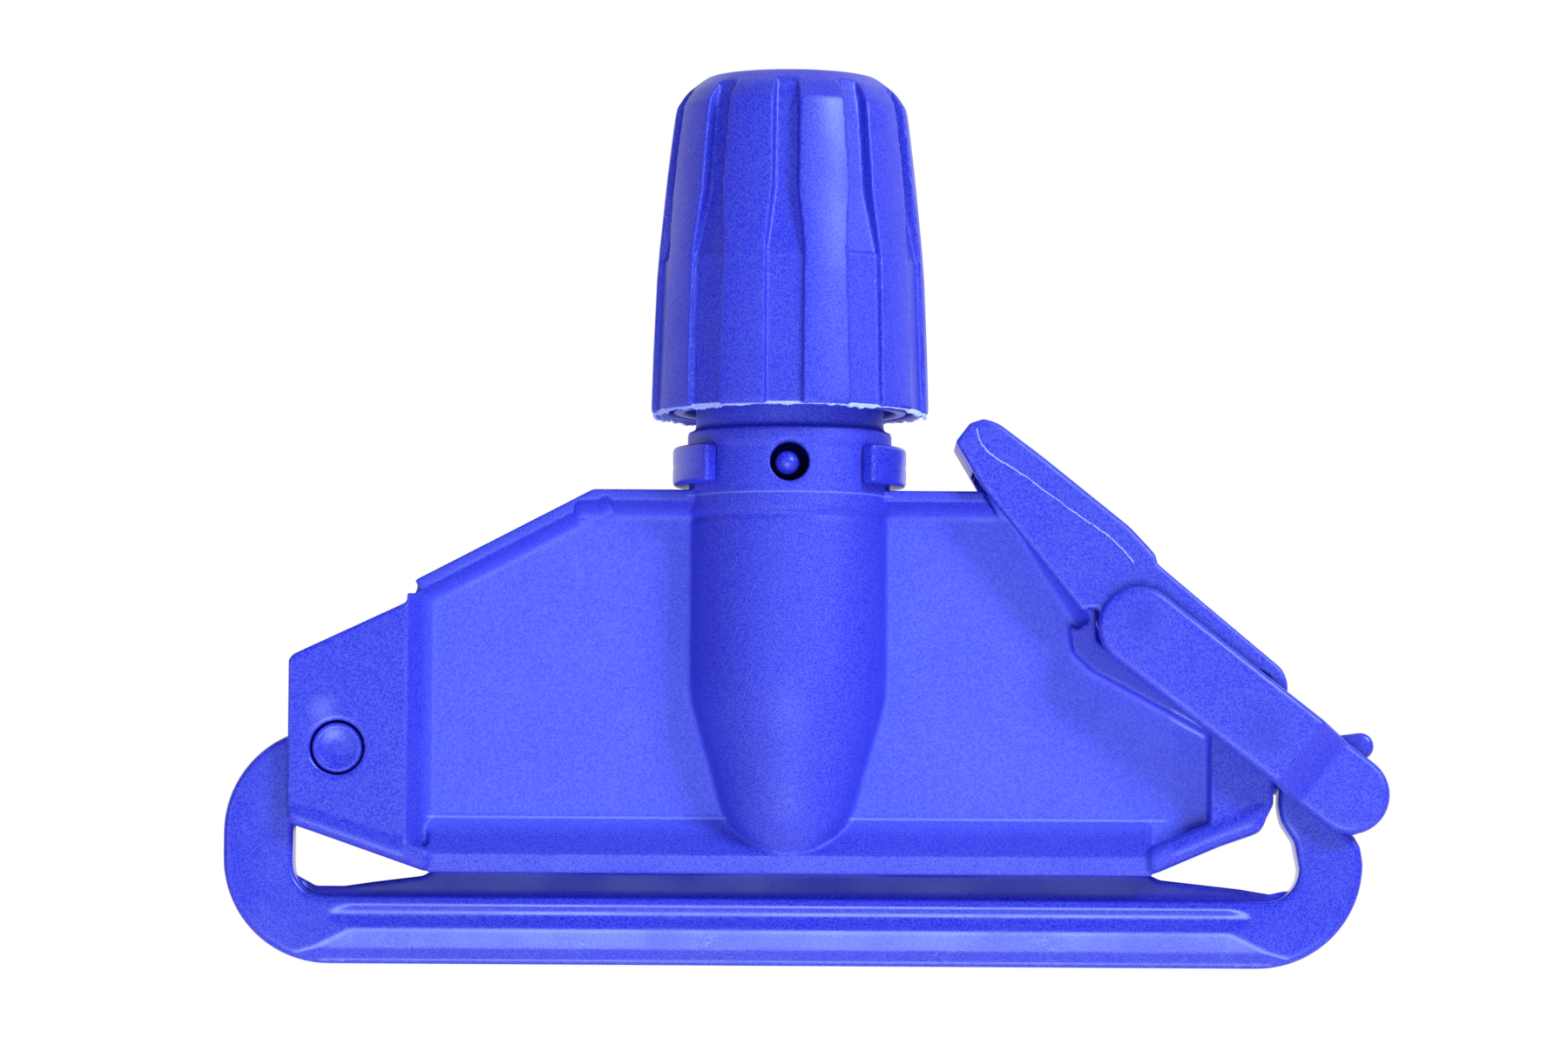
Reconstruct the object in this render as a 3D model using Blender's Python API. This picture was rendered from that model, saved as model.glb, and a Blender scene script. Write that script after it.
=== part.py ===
"""Strip-mop clamp: a moulded frame with a handle socket, a swinging clamp bar and an over-centre latch.

Sizes are in millimetres and angles in degrees; add_mesh() turns millimetres into metres.
Heights are counted from the clamp bar's flat underside. The origin is the mouth of the handle socket,
so everything hangs from the datum empty, which sits OVERALL_HEIGHT below it.
+X runs along the clamp bar towards its hook, +Y is the back, and +Z is up the handle.
"""

import math

import bmesh
import bpy
from mathutils import Vector

MM = 0.001

# Overall
OVERALL_HEIGHT = 144.0
FIT_GAP = 0.3

# Pivots of the mechanism, as (x, height)
BAR_PIVOT = (-72.4, 34.6)
LEVER_PIVOT = (74.8, 44.9)
LINK_PIVOT = (56.1, 54.5)
CROSS_ROD = (90.3, 28.0)

# Handle socket
BORE_R = 12.6
BORE_FOOT = 40.0
BORE_SHOULDER = 90.5
COUNTERBORE_R = 14.2
TUBE_R = 15.9
NECK_TOP = 103.0
PEG_HOLE_R = 3.15
PEG_HEIGHT = 80.5

# Screw thread between the neck and the grip collar: rounded, right-handed
THREAD_PITCH = 4.0
THREAD_BOTTOM = 90.5
THREAD_TURNS = 3
THREAD_ROWS_PER_TURN = 5
THREAD_MEAN_R = 16.1
THREAD_HALF_DEPTH = 0.45
THREAD_CLEARANCE = 0.5

# Frame
WEB_HALF = 1.5
RIM_HALF = 5.5
CHEEK_HALF = 7.0
JAW_HALF = 6.5
RIM_WIDTH = 4.2
SLOT_HALF = 4.5
CHEEK_RIGHT = -61.2
FRAME_TOP = 76.6
FRAME_FOOT = 14.8
POST_LEFT = 67.8
POST_RIGHT = 78.1
LUG_R = 5.0

# Clamp bar
BAR_HALF = 4.2
BAR_HEIGHT = 10.8
BEND_R = 17.0
BEND_LEFT_X = -73.7
BEND_RIGHT_X = 75.6
INNER_BEND_R = 5.3
FIN_HALF = 1.6
BAR_EYE_R = 6.3

# Lever and draw link
LEVER_INSIDE = 7.3
LEVER_OUTSIDE = 9.5
LEVER_WALL = 2.2
LEVER_END_R = 5.3
ARM_INSIDE = 9.8
ARM_THICKNESS = 3.0
ARM_HALF_WIDTH = 6.6
FOOT_INSIDE = 4.7
FOOT_OUTSIDE = 7.5
FOOT_R = 6.4
ROD_R = 3.6

# Pins
BAR_PIN_R = 4.2
LEVER_PIN_R = 2.5
LINK_PIN_R = 3.0
LINK_PIN_HALF = 11.1

# Locking clip
CLIP_INSIDE_R = 16.3
CLIP_OUTSIDE_R = 18.9
CLIP_HALF_HEIGHT = 3.1
CLIP_OPEN_HALF_ANGLE = 45.0
PEG_R = 2.6

# Grip collar
COLLAR_BOTTOM = 89.2
COLLAR_RIBS = 10
RIB_PHASE = 15.4
MOUTH_R = 12.9

BLUE = (0.055, 0.06, 0.86, 1.0)
DEEP_BLUE = (0.04, 0.045, 0.72, 1.0)


# ---------------------------------------------------------------- helpers

def clear_scene():
    """Remove whatever the file opened with."""
    for old in list(bpy.data.objects):
        bpy.data.objects.remove(old, do_unlink=True)


def add_mesh(name, points, faces):
    """Make an object from points in millimetres, with its faces turned outwards."""
    mesh = bpy.data.meshes.new(name)
    mesh.from_pydata([Vector(p) * MM for p in points], [], faces)
    work = bmesh.new()
    work.from_mesh(mesh)
    bmesh.ops.recalc_face_normals(work, faces=work.faces)
    work.to_mesh(mesh)
    work.free()
    body = bpy.data.objects.new(name, mesh)
    bpy.context.collection.objects.link(body)
    return body


def prism(name, outline, y_front, y_back):
    """Extrude an outline of (x, height) points along Y."""
    count = len(outline)
    points = [(x, y_front, z) for x, z in outline] + [(x, y_back, z) for x, z in outline]
    faces = [list(range(count)), list(range(count, 2 * count))]
    faces += [(i, (i + 1) % count, count + (i + 1) % count, count + i) for i in range(count)]
    return add_mesh(name, points, faces)


def plan_prism(name, outline, z_low, z_high):
    """Extrude an outline of (x, y) points upwards."""
    count = len(outline)
    points = [(x, y, z_low) for x, y in outline] + [(x, y, z_high) for x, y in outline]
    faces = [list(range(count)), list(range(count, 2 * count))]
    faces += [(i, (i + 1) % count, count + (i + 1) % count, count + i) for i in range(count)]
    return add_mesh(name, points, faces)


def ring_stack(name, rings, closed):
    """Skin a list of rings of points; closed joins the last ring to the first, else both ends are capped."""
    count = len(rings[0])
    points = [p for ring in rings for p in ring]
    spans = len(rings) if closed else len(rings) - 1
    faces = []
    for k in range(spans):
        low, high = k * count, ((k + 1) % len(rings)) * count
        faces += [(low + i, low + (i + 1) % count, high + (i + 1) % count, high + i) for i in range(count)]
    if not closed:
        faces.append(list(range(count)))
        faces.append(list(range(len(points) - count, len(points))))
    return add_mesh(name, points, faces)


def circle(radius, height, segments, phase=0.0):
    """Points round the handle axis at one height; angle 0 is +X."""
    turns = [math.radians(phase + 360.0 * i / segments) for i in range(segments)]
    return [(radius * math.cos(a), radius * math.sin(a), height) for a in turns]


def turned(name, profile, segments, closed=False):
    """A shape of revolution about the handle axis, from (radius, height) points."""
    return ring_stack(name, [circle(r, z, segments) for r, z in profile], closed)


def cross_pin(name, centre, radius, y_front, y_back, segments=24):
    """A round bar along Y at (x, height)."""
    return prism(name, arc(centre, radius, 0, 360 - 360 / segments, segments), y_front, y_back)


def arc(centre, radius, start, end, count):
    """Evenly spaced (x, height) points from one angle to another, both included."""
    angles = [math.radians(start + (end - start) * i / (count - 1)) for i in range(count)]
    return [(centre[0] + radius * math.cos(a), centre[1] + radius * math.sin(a)) for a in angles]


def mirrored_y(outline_maker, name, y_inside, y_outside):
    """Front and back copies of one prism."""
    front = prism(name + "_front", outline_maker, -y_outside, -y_inside)
    back = prism(name + "_back", outline_maker, y_inside, y_outside)
    return [front, back]


def apply_modifiers(body):
    """Keep the shape that the modifiers make and drop them."""
    graph = bpy.context.evaluated_depsgraph_get()
    graph.update()
    finished = bpy.data.meshes.new_from_object(body.evaluated_get(graph))
    body.modifiers.clear()
    body.data = finished


def combine(body, tools, operation):
    """Boolean each tool into the body, in turn, and remove the tools."""
    for tool in tools:
        step = body.modifiers.new(operation.title(), "BOOLEAN")
        step.operation = operation
        step.solver = "EXACT"
        step.object = tool
        apply_modifiers(body)
    for tool in tools:
        bpy.data.objects.remove(tool, do_unlink=True)


def bevelled(body, width, segments=1, angle=35.0):
    """Round the sharp edges by a width in millimetres."""
    bevel = body.modifiers.new("Bevel", "BEVEL")
    bevel.width = width * MM
    bevel.segments = segments
    bevel.limit_method = "ANGLE"
    bevel.angle_limit = math.radians(angle)
    apply_modifiers(body)
    return body


def finish(body, colour, roughness, pivot=(0.0, 0.0)):
    """Name the mesh, shade it, give it its plastic and put its origin on its pivot (x, height)."""
    body.data.name = body.name
    body.data.shade_smooth()
    body.data.set_sharp_from_angle(angle=math.radians(35))
    plastic = bpy.data.materials.new(body.name)
    plastic.use_nodes = True
    shader = plastic.node_tree.nodes["Principled BSDF"]
    shader.inputs["Base Color"].default_value = colour
    shader.inputs["Roughness"].default_value = roughness
    shader.inputs["Metallic"].default_value = 0.0
    body.data.materials.clear()
    body.data.materials.append(plastic)
    centre = Vector((pivot[0], 0.0, pivot[1])) * MM
    for vertex in body.data.vertices:
        vertex.co -= centre
    body.location = centre
    body.parent = bpy.data.objects["foot_datum"]
    return body


# ---------------------------------------------------------------- thread

def thread_wave(angle, height):
    """How far the thread's surface stands off its mean radius; the ridge climbs one pitch a turn."""
    return THREAD_HALF_DEPTH * math.cos(math.tau * (height / THREAD_PITCH) - angle)


def thread_rings(mean_radius, segments):
    """Rings of the threaded stretch, bottom to top."""
    rows = THREAD_TURNS * THREAD_ROWS_PER_TURN
    rings = []
    for row in range(rows + 1):
        height = THREAD_BOTTOM + THREAD_PITCH * row / THREAD_ROWS_PER_TURN
        ring = []
        for i in range(segments):
            angle = math.tau * i / segments
            radius = mean_radius + thread_wave(angle, height)
            ring.append((radius * math.cos(angle), radius * math.sin(angle), height))
        rings.append(ring)
    return rings


# ---------------------------------------------------------------- frame

def frame_outline():
    """Outer edge of the web and its rims, anticlockwise from the jaw's left end."""
    outline = [(-57.8, FRAME_FOOT), (58.4, FRAME_FOOT), (69.4, 19.6), (76.2, 22.0), (POST_RIGHT, 26.4)]
    outline += [(POST_RIGHT, 38.0), (POST_LEFT, 42.2)]
    outline += notch_edge()
    outline += [(37.0, FRAME_TOP), (-31.6, FRAME_TOP), (-59.9, 61.9), (-60.4, 58.6), (-79.6, 49.7)]
    outline += [(-80.4, 48.7), (-80.4, 23.1), (-79.7, 22.4)]
    return outline


def notch_edge():
    """Edge of the notch that the latch drops into, from the post up to the top rim."""
    return [(63.5, 44.6), (48.6, 52.5), (47.3, 53.6), (47.2, 55.0), (48.7, 59.5)]


def rim_band():
    """The raised rim: along the top, down both slopes and round the notch to the post."""
    outer = [(-60.2, 61.7), (-31.6, FRAME_TOP), (37.0, FRAME_TOP)]
    outer += list(reversed(notch_edge())) + [(POST_LEFT + 1.5, 41.6)]
    inner = []
    for i, (x, z) in enumerate(outer):
        before = Vector(outer[max(i - 1, 0)])
        after = Vector(outer[min(i + 1, len(outer) - 1)])
        along = (after - before).normalized()
        inner.append((x + along.y * RIM_WIDTH, z - along.x * RIM_WIDTH))
    return outer, inner


def make_rim():
    """Rim as one prism whose inner edge is a width inside its outer edge."""
    outer, inner = rim_band()
    return prism("rim", outer + list(reversed(inner)), -RIM_HALF, RIM_HALF)


def make_cheeks():
    """Thick left end that holds the bar's pivot, with its slope down to the web."""
    outline = [(-79.7, 22.5), (CHEEK_RIGHT, 16.2), (CHEEK_RIGHT, 58.2), (-79.6, 49.6), (-80.3, 48.7), (-80.3, 23.1)]
    block = prism("cheeks", outline, -CHEEK_HALF, CHEEK_HALF)
    foot = CHEEK_RIGHT + 3.9
    section = [(CHEEK_RIGHT - 1.0, -CHEEK_HALF + 0.1), (CHEEK_RIGHT, -CHEEK_HALF + 0.1), (foot, -WEB_HALF + 0.1)]
    section += [(foot, WEB_HALF - 0.1), (CHEEK_RIGHT, CHEEK_HALF - 0.1), (CHEEK_RIGHT - 1.0, CHEEK_HALF - 0.1)]
    slope = plan_prism("slope", section, 16.4, 60.5)
    return [block, slope]


def make_post():
    """Thick right end with the lug that carries the lever."""
    outline = [(POST_LEFT, 19.6), (76.0, 22.4), (POST_RIGHT - 0.1, 26.4), (POST_RIGHT - 0.1, 38.0)]
    outline += arc(LEVER_PIVOT, LUG_R, -30, 185, 14)
    outline += [(POST_LEFT + 0.1, 40.5)]
    return prism("post", outline, -CHEEK_HALF, CHEEK_HALF)


def make_jaw():
    """Lower flange: a flare down the web's foot and thick lips along the sloping ends."""
    flare = [(-JAW_HALF, FRAME_FOOT - 0.1), (JAW_HALF, FRAME_FOOT - 0.1), (JAW_HALF, 17.8), (WEB_HALF - 0.1, 23.8)]
    flare += [(-WEB_HALF + 0.1, 23.8), (-JAW_HALF, 17.8)]
    left, right = -57.8, 58.4
    count = len(flare)
    points = [(left, y, z) for y, z in flare] + [(right, y, z) for y, z in flare]
    faces = [list(range(count)), list(range(count, 2 * count))]
    faces += [(i, (i + 1) % count, count + (i + 1) % count, count + i) for i in range(count)]
    middle = add_mesh("jaw", points, faces)
    left_lip = prism(
        "left_lip",
        [(-57.0, 14.7), (-57.0, 18.0), (-79.6, 25.6), (-80.35, 25.2), (-80.35, 23.0), (-79.7, 22.3), (-57.8, 14.7)],
        -CHEEK_HALF - 0.4,
        CHEEK_HALF + 0.4,
    )
    right_lip = prism(
        "right_lip",
        [(57.5, 14.7), (58.4, 14.7), (69.4, 19.5), (76.2, 21.9), (78.15, 26.3), (76.8, 27.8), (57.5, 18.9)],
        -CHEEK_HALF - 0.4,
        CHEEK_HALF + 0.4,
    )
    return [middle, left_lip, right_lip]


def make_socket():
    """Handle tube: bullet foot, plain barrel, ring band and threaded neck."""
    foot = [(5.8, 17.4), (8.3, 20.5), (9.9, 23.0), (11.2, 26.5), (12.6, 31.8), (14.2, 37.2), (15.6, 41.6)]
    barrel = [(TUBE_R, 45.0), (TUBE_R, 72.0), (16.15, 72.4), (16.15, 83.2), (16.4, 83.4), (16.4, 86.0)]
    neck = [(15.2, 86.4), (15.2, 89.8)]
    segments = 36
    rings = [circle(r, z, segments) for r, z in foot + barrel + neck]
    rings += thread_rings(THREAD_MEAN_R, segments)
    rings.append(circle(THREAD_MEAN_R - THREAD_HALF_DEPTH, NECK_TOP, segments))
    return ring_stack("socket", rings, closed=False)


def socket_cutters():
    """Bore, the collet's counterbore, peg holes, pivot holes and the bar's slot."""
    bore = turned("bore", [(6.0, BORE_FOOT - 4.0), (BORE_R, BORE_FOOT), (BORE_R, 150.0)], 32)
    seat = turned("seat", [(COUNTERBORE_R, BORE_SHOULDER), (COUNTERBORE_R, 150.0)], 32)
    peg = cross_pin("peg_hole", (0.0, PEG_HEIGHT), PEG_HOLE_R, -25.0, 25.0, 20)
    slot = prism("slot", [(-90, 10), (-61.5, 10), (-61.5, 70), (-90, 70)], -SLOT_HALF, SLOT_HALF)
    bar_hole = cross_pin("bar_hole", BAR_PIVOT, BAR_PIN_R + 0.5, -12.0, 12.0)
    lever_hole = cross_pin("lever_hole", LEVER_PIVOT, LEVER_PIN_R + FIT_GAP, -12.0, 12.0, 16)
    return [bore, seat, peg, slot, bar_hole, lever_hole]


def make_frame_body():
    """The one moulding that everything else is mounted on."""
    body = prism("frame_body", frame_outline(), -WEB_HALF, WEB_HALF)
    additions = [make_rim(), *make_cheeks(), make_post(), *make_jaw(), make_socket()]
    combine(body, additions, "UNION")
    combine(body, socket_cutters(), "DIFFERENCE")
    return finish(body, BLUE, 0.42)


# ---------------------------------------------------------------- clamp bar

def bar_outline():
    """Edge of the bar, anticlockwise from its lower left bend, with the hook at the right."""
    x, z = CROSS_ROD
    outline = arc((BEND_LEFT_X, BEND_R), BEND_R, 180, 270, 8)
    outline += arc((BEND_RIGHT_X, BEND_R), BEND_R, 270, 360, 8)
    outline += [(x + 1.9, z - 8.4), (x + 0.9, z - 6.6), (x - 1.7, z - 4.8), (x - 4.1, z - 2.8)]
    outline += arc((x - 1.8, z + 3.8), 2.3, 180, 90, 4)
    outline += arc((x + 2.1, z + 7.9), 1.8, -90, 90, 5)
    outline += arc((x - 0.5, z - 1.1), 10.8, 95, 200, 8)
    outline += [(81.5, 20.4)]
    outline += arc((77.0, 16.1), INNER_BEND_R, 0, -90, 5)
    outline += arc((-74.2, 16.1), INNER_BEND_R, -90, -180, 5)
    outline += [(-79.5, 22.5), (-78.4, 26.6)]
    outline += arc(BAR_PIVOT, BAR_EYE_R, 250, 480, 14)
    outline += arc((BEND_LEFT_X, 21.0), BEND_R, 112, 180, 6)
    return outline


def fin_outline():
    """Low wavy fin along the bar's top that bites the mop's band."""
    crest = [(-79.0, 14.2), (-75.9, 12.5), (-71.3, 12.5), (-66.5, 13.2), (-57.8, 14.2), (-40.0, 14.2)]
    crest += [(-34.0, 13.2), (-14.0, 13.2), (-8.0, 14.2), (12.0, 14.2), (16.0, 13.2), (30.0, 13.2), (34.0, 14.2)]
    crest += [(60.7, 14.2), (72.9, 12.8), (77.7, 12.2), (81.2, 14.2)]
    return [(82.0, 10.0), (-80.0, 10.0)] + crest


def make_clamp_bar():
    """Swinging bar with its eye, bends, hook and fin."""
    body = bevelled(prism("clamp_bar", bar_outline(), -BAR_HALF, BAR_HALF), 1.2)
    fin = prism("fin", fin_outline(), -FIN_HALF, FIN_HALF)
    combine(body, [fin], "UNION")
    combine(body, [cross_pin("eye", BAR_PIVOT, BAR_PIN_R + FIT_GAP, -8.0, 8.0)], "DIFFERENCE")
    return finish(body, BLUE, 0.4, BAR_PIVOT)


def make_bar_pivot_pin():
    """Headed pin; its plain end lies just below the front cheek's face."""
    head = cross_pin("head", BAR_PIVOT, BAR_PIN_R + 1.8, CHEEK_HALF + FIT_GAP, CHEEK_HALF + FIT_GAP + 1.6)
    body = cross_pin("bar_pivot_pin", BAR_PIVOT, BAR_PIN_R, -CHEEK_HALF + 0.5, CHEEK_HALF + 1.2)
    combine(body, [head], "UNION")
    return finish(body, DEEP_BLUE, 0.4, BAR_PIVOT)


# ---------------------------------------------------------------- latch

def lever_outline():
    """Side of the lever, anticlockwise from the lower corner of its tip."""
    outline = [(26.7, 84.3), (31.0, 77.0), (47.0, 57.1), (49.7, 57.6)]
    outline += arc(LINK_PIVOT, LEVER_END_R, 195, 240, 3)
    outline += arc(LEVER_PIVOT, LEVER_END_R, 240, 400, 8)
    outline += [(59.1, 66.1), (54.8, 70.7), (40.7, 82.0), (33.6, 87.3), (31.2, 88.0), (29.0, 87.3)]
    return outline


def lever_hollow():
    """What is cut out between the cheeks: open towards the frame, closed by the back wall and the tip."""
    return [(33.0, 70.0), (44.0, 50.0), (60.0, 40.0), (90.0, 34.0), (83.0, 55.0), (75.4, 54.0), (72.0, 51.0)] + [
        (57.5, 64.6),
        (53.3, 69.1),
        (39.3, 80.3),
        (33.0, 84.9),
        (30.4, 84.3),
        (29.0, 81.9),
    ]


def make_clamp_lever():
    """Channel lever that straddles the frame's lug."""
    body = bevelled(prism("clamp_lever", lever_outline(), -LEVER_OUTSIDE, LEVER_OUTSIDE), 1.0)
    hollow = prism("hollow", lever_hollow(), -LEVER_INSIDE, LEVER_INSIDE)
    lever_hole = cross_pin("lever_hole", LEVER_PIVOT, LEVER_PIN_R + FIT_GAP, -15.0, 15.0, 16)
    link_hole = cross_pin("link_hole", LINK_PIVOT, LINK_PIN_R + FIT_GAP, -15.0, 15.0, 16)
    combine(body, [hollow, lever_hole, link_hole], "DIFFERENCE")
    return finish(body, BLUE, 0.38, LEVER_PIVOT)


def arm_stations():
    """Stations along one stirrup arm: (distance from the link pin, half width, outside y, inside y)."""
    x, z = CROSS_ROD[0] - LINK_PIVOT[0], CROSS_ROD[1] - LINK_PIVOT[1]
    reach = math.hypot(x, z)
    top, foot = ARM_INSIDE + ARM_THICKNESS, FOOT_OUTSIDE
    stations = []
    for angle in (80, 60, 40, 20, 0):
        turn = math.radians(angle)
        stations.append((-ARM_HALF_WIDTH * math.sin(turn), ARM_HALF_WIDTH * math.cos(turn), top, ARM_INSIDE))
    stations.append((reach - 10.5, ARM_HALF_WIDTH, top, ARM_INSIDE))
    stations.append((reach - 5.2, FOOT_R, foot + 0.3, FOOT_INSIDE))
    for angle in (0, 20, 40, 60, 80):
        turn = math.radians(angle)
        stations.append((reach + FOOT_R * math.sin(turn), FOOT_R * math.cos(turn), foot, FOOT_INSIDE))
    return stations


def stirrup_arm(name, side):
    """One arm, with its jog in towards the cross rod; side is -1 for the front and 1 for the back."""
    start, end = Vector(LINK_PIVOT), Vector(CROSS_ROD)
    along = (end - start).normalized()
    across = Vector((-along.y, along.x))
    rings = []
    for distance, half, outside, inside in arm_stations():
        low = start + along * distance - across * half
        high = start + along * distance + across * half
        rings.append([(p.x, side * y, p.y) for p, y in ((low, outside), (high, outside), (high, inside), (low, inside))])
    return ring_stack(name, rings, closed=False)


def make_draw_link():
    """Stirrup: two arms joined by the cross rod that the bar's hook holds."""
    body = stirrup_arm("draw_link", -1)
    back = stirrup_arm("arm_back", 1)
    rod = cross_pin("rod", CROSS_ROD, ROD_R, -FOOT_INSIDE - 1.0, FOOT_INSIDE + 1.0, 20)
    combine(body, [rod, back], "UNION")
    depth = LINK_PIN_HALF + FIT_GAP
    combine(body, [cross_pin("blind", LINK_PIVOT, LINK_PIN_R + FIT_GAP, -depth, depth, 16)], "DIFFERENCE")
    return finish(body, BLUE, 0.4, LINK_PIVOT)


def make_lever_pivot_pin():
    """Plain pin through the lug and both cheeks of the lever."""
    body = cross_pin("lever_pivot_pin", LEVER_PIVOT, LEVER_PIN_R, -LEVER_OUTSIDE + 0.1, LEVER_OUTSIDE - 0.1, 16)
    return finish(body, DEEP_BLUE, 0.4, LEVER_PIVOT)


def make_link_pin():
    """Plain pin through the lever into the blind holes of the stirrup's arms."""
    body = cross_pin("link_pin", LINK_PIVOT, LINK_PIN_R, -LINK_PIN_HALF, LINK_PIN_HALF, 16)
    return finish(body, DEEP_BLUE, 0.4, LINK_PIVOT)


# ---------------------------------------------------------------- locking clip

def make_locking_clip():
    """C-shaped clip open to the front, with a round-nosed peg and a thumb pad at the back."""
    low, high = PEG_HEIGHT - CLIP_HALF_HEIGHT, PEG_HEIGHT + CLIP_HALF_HEIGHT
    start = -90 + CLIP_OPEN_HALF_ANGLE
    end = 270 - CLIP_OPEN_HALF_ANGLE
    outline = arc((0, 0), CLIP_OUTSIDE_R, start, end, 22) + arc((0, 0), CLIP_INSIDE_R, end, start, 22)
    body = bevelled(plan_prism("locking_clip", outline, low, high), 0.5)
    pad = plan_prism("pad", [(-5, 17.5), (5, 17.5), (4.2, 21.2), (-4.2, 21.2)], low + 0.4, high - 0.4)
    segments = 16
    centre_y = -12.6
    nose = [(PEG_R * math.sin(math.radians(a)), centre_y - PEG_R * math.cos(math.radians(a))) for a in (15, 45, 70)]
    stations = nose + [(PEG_R, centre_y), (2.2, centre_y + 1.6), (2.2, 17.5)]
    rings = []
    for radius, y in stations:
        turns = [math.tau * i / segments for i in range(segments)]
        rings.append([(radius * math.cos(a), y, PEG_HEIGHT + radius * math.sin(a)) for a in turns])
    peg = ring_stack("peg", rings, closed=False)
    combine(body, [pad, peg], "UNION")
    return finish(body, BLUE, 0.36)


# ---------------------------------------------------------------- grip

def rib_radius(height):
    """Outer radius of the collar's ribs: a slow taper, then a rounded shoulder."""
    stations = [(89.2, 22.3), (90.2, 22.5), (99.0, 22.2), (111.0, 21.7), (116.0, 21.3), (128.0, 20.1)]
    stations += [(138.5, 18.7), (141.3, 16.5), (143.3, 14.2), (OVERALL_HEIGHT, 13.4)]
    return along_stations(stations, height)


def groove_depth(height):
    """How deep the grooves lie under the ribs: shallow below, a ramp, deep above, and none at the rim."""
    return along_stations([(89.2, 0.3), (90.2, 0.8), (113.7, 0.8), (124.2, 2.0), (138.5, 1.9), (142.2, 0.0), (150, 0)], height)


def along_stations(stations, height):
    """Straight-line value between (height, value) stations."""
    for (z0, v0), (z1, v1) in zip(stations, stations[1:]):
        if height <= z1:
            return v0 + (v1 - v0) * (height - z0) / (z1 - z0)
    return stations[-1][1]


def grip_rings():
    """Outer rings of the collar, bottom to top: six points to each rib and groove."""
    offsets = [(-10.2, 1.0), (-8.2, 0.12), (0.0, 0.0), (8.2, 0.12), (10.2, 1.0), (18.0, 1.0)]
    heights = [89.2, 90.2, 111.0, 113.7, 124.2, 131.0, 138.5, 140.6, 142.2, 143.3, OVERALL_HEIGHT]
    rings = []
    for height in heights:
        ring = []
        for rib in range(COLLAR_RIBS):
            for offset, share in offsets:
                turn = math.radians(-90.0 + RIB_PHASE + rib * 360.0 / COLLAR_RIBS + offset)
                radius = rib_radius(height) - share * groove_depth(height)
                ring.append((radius * math.cos(turn), radius * math.sin(turn), height))
        rings.append(ring)
    return rings


def aligned(ring, first_angle):
    """Turn a ring's start so that its points pair up with those of another ring."""
    angles = [math.degrees(math.atan2(y, x)) for x, y, _ in ring]
    nearest = min(range(len(ring)), key=lambda i: abs((angles[i] - first_angle + 180) % 360 - 180))
    return ring[nearest:] + ring[:nearest]


def make_grip_collar():
    """Ribbed nut: inner lip, cone for the collet, thread and a skirt cored out from below."""
    outer = grip_rings()
    segments = len(outer[0])
    first_angle = math.degrees(math.atan2(outer[0][0][1], outer[0][0][0]))
    mean = THREAD_MEAN_R + THREAD_CLEARANCE
    inner = [circle(MOUTH_R + 0.1, OVERALL_HEIGHT, segments), circle(MOUTH_R, 141.0, segments)]
    inner += [circle(14.4, 139.9, segments), circle(17.5, 105.2, segments)]
    inner += list(reversed(thread_rings(mean, segments)))
    inner += [circle(mean + THREAD_HALF_DEPTH, COLLAR_BOTTOM, segments)]
    inner += [circle(18.8, COLLAR_BOTTOM, segments), circle(18.8, 112.0, segments)]
    inner += [circle(19.9, 112.0, segments), circle(20.6, COLLAR_BOTTOM, segments)]
    rings = outer + [aligned(ring, first_angle) for ring in inner]
    return finish(ring_stack("grip_collar", rings, closed=True), BLUE, 0.4)


def make_split_collet():
    """Slotted tapered sleeve that the collar's cone closes on the handle."""
    profile = [(BORE_R, 92.5), (BORE_R, 139.3), (13.7, 139.3), (17.0, 105.0), (13.8, 104.4), (13.8, 92.5)]
    body = turned("split_collet", profile, 32, closed=True)
    slots = []
    for k, turn in enumerate((45, 135)):
        a = math.radians(turn)
        along, across = Vector((math.cos(a), math.sin(a))), Vector((-math.sin(a), math.cos(a)))
        corners = [along * s * 25 + across * t * 0.8 for s, t in ((-1, -1), (1, -1), (1, 1), (-1, 1))]
        slots.append(plan_prism("slit_%d" % k, [tuple(c) for c in corners], 108.0 + 0.01 * k, 145.0))
    combine(body, slots, "DIFFERENCE")
    return finish(body, DEEP_BLUE, 0.5)


def main():
    clear_scene()
    datum = bpy.data.objects.new("foot_datum", None)
    datum.location = (0.0, 0.0, -OVERALL_HEIGHT * MM)
    bpy.context.collection.objects.link(datum)
    make_frame_body()
    make_clamp_bar()
    make_bar_pivot_pin()
    make_clamp_lever()
    make_lever_pivot_pin()
    make_draw_link()
    make_link_pin()
    make_locking_clip()
    make_split_collet()
    make_grip_collar()


main()
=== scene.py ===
"""Looks of a strip-mop clamp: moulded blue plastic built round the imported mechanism.

Sizes are in millimetres. Heights are counted from the flat foot of the clamp bar, and the
mouth of the handle socket is the origin of the frame. +X runs towards the hook and +Y is the back.
"""

import logging
import math
import random
from dataclasses import dataclass
from enum import Enum
from typing import Callable, Optional, Sequence

import bpy
from mathutils import Matrix, Vector

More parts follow.
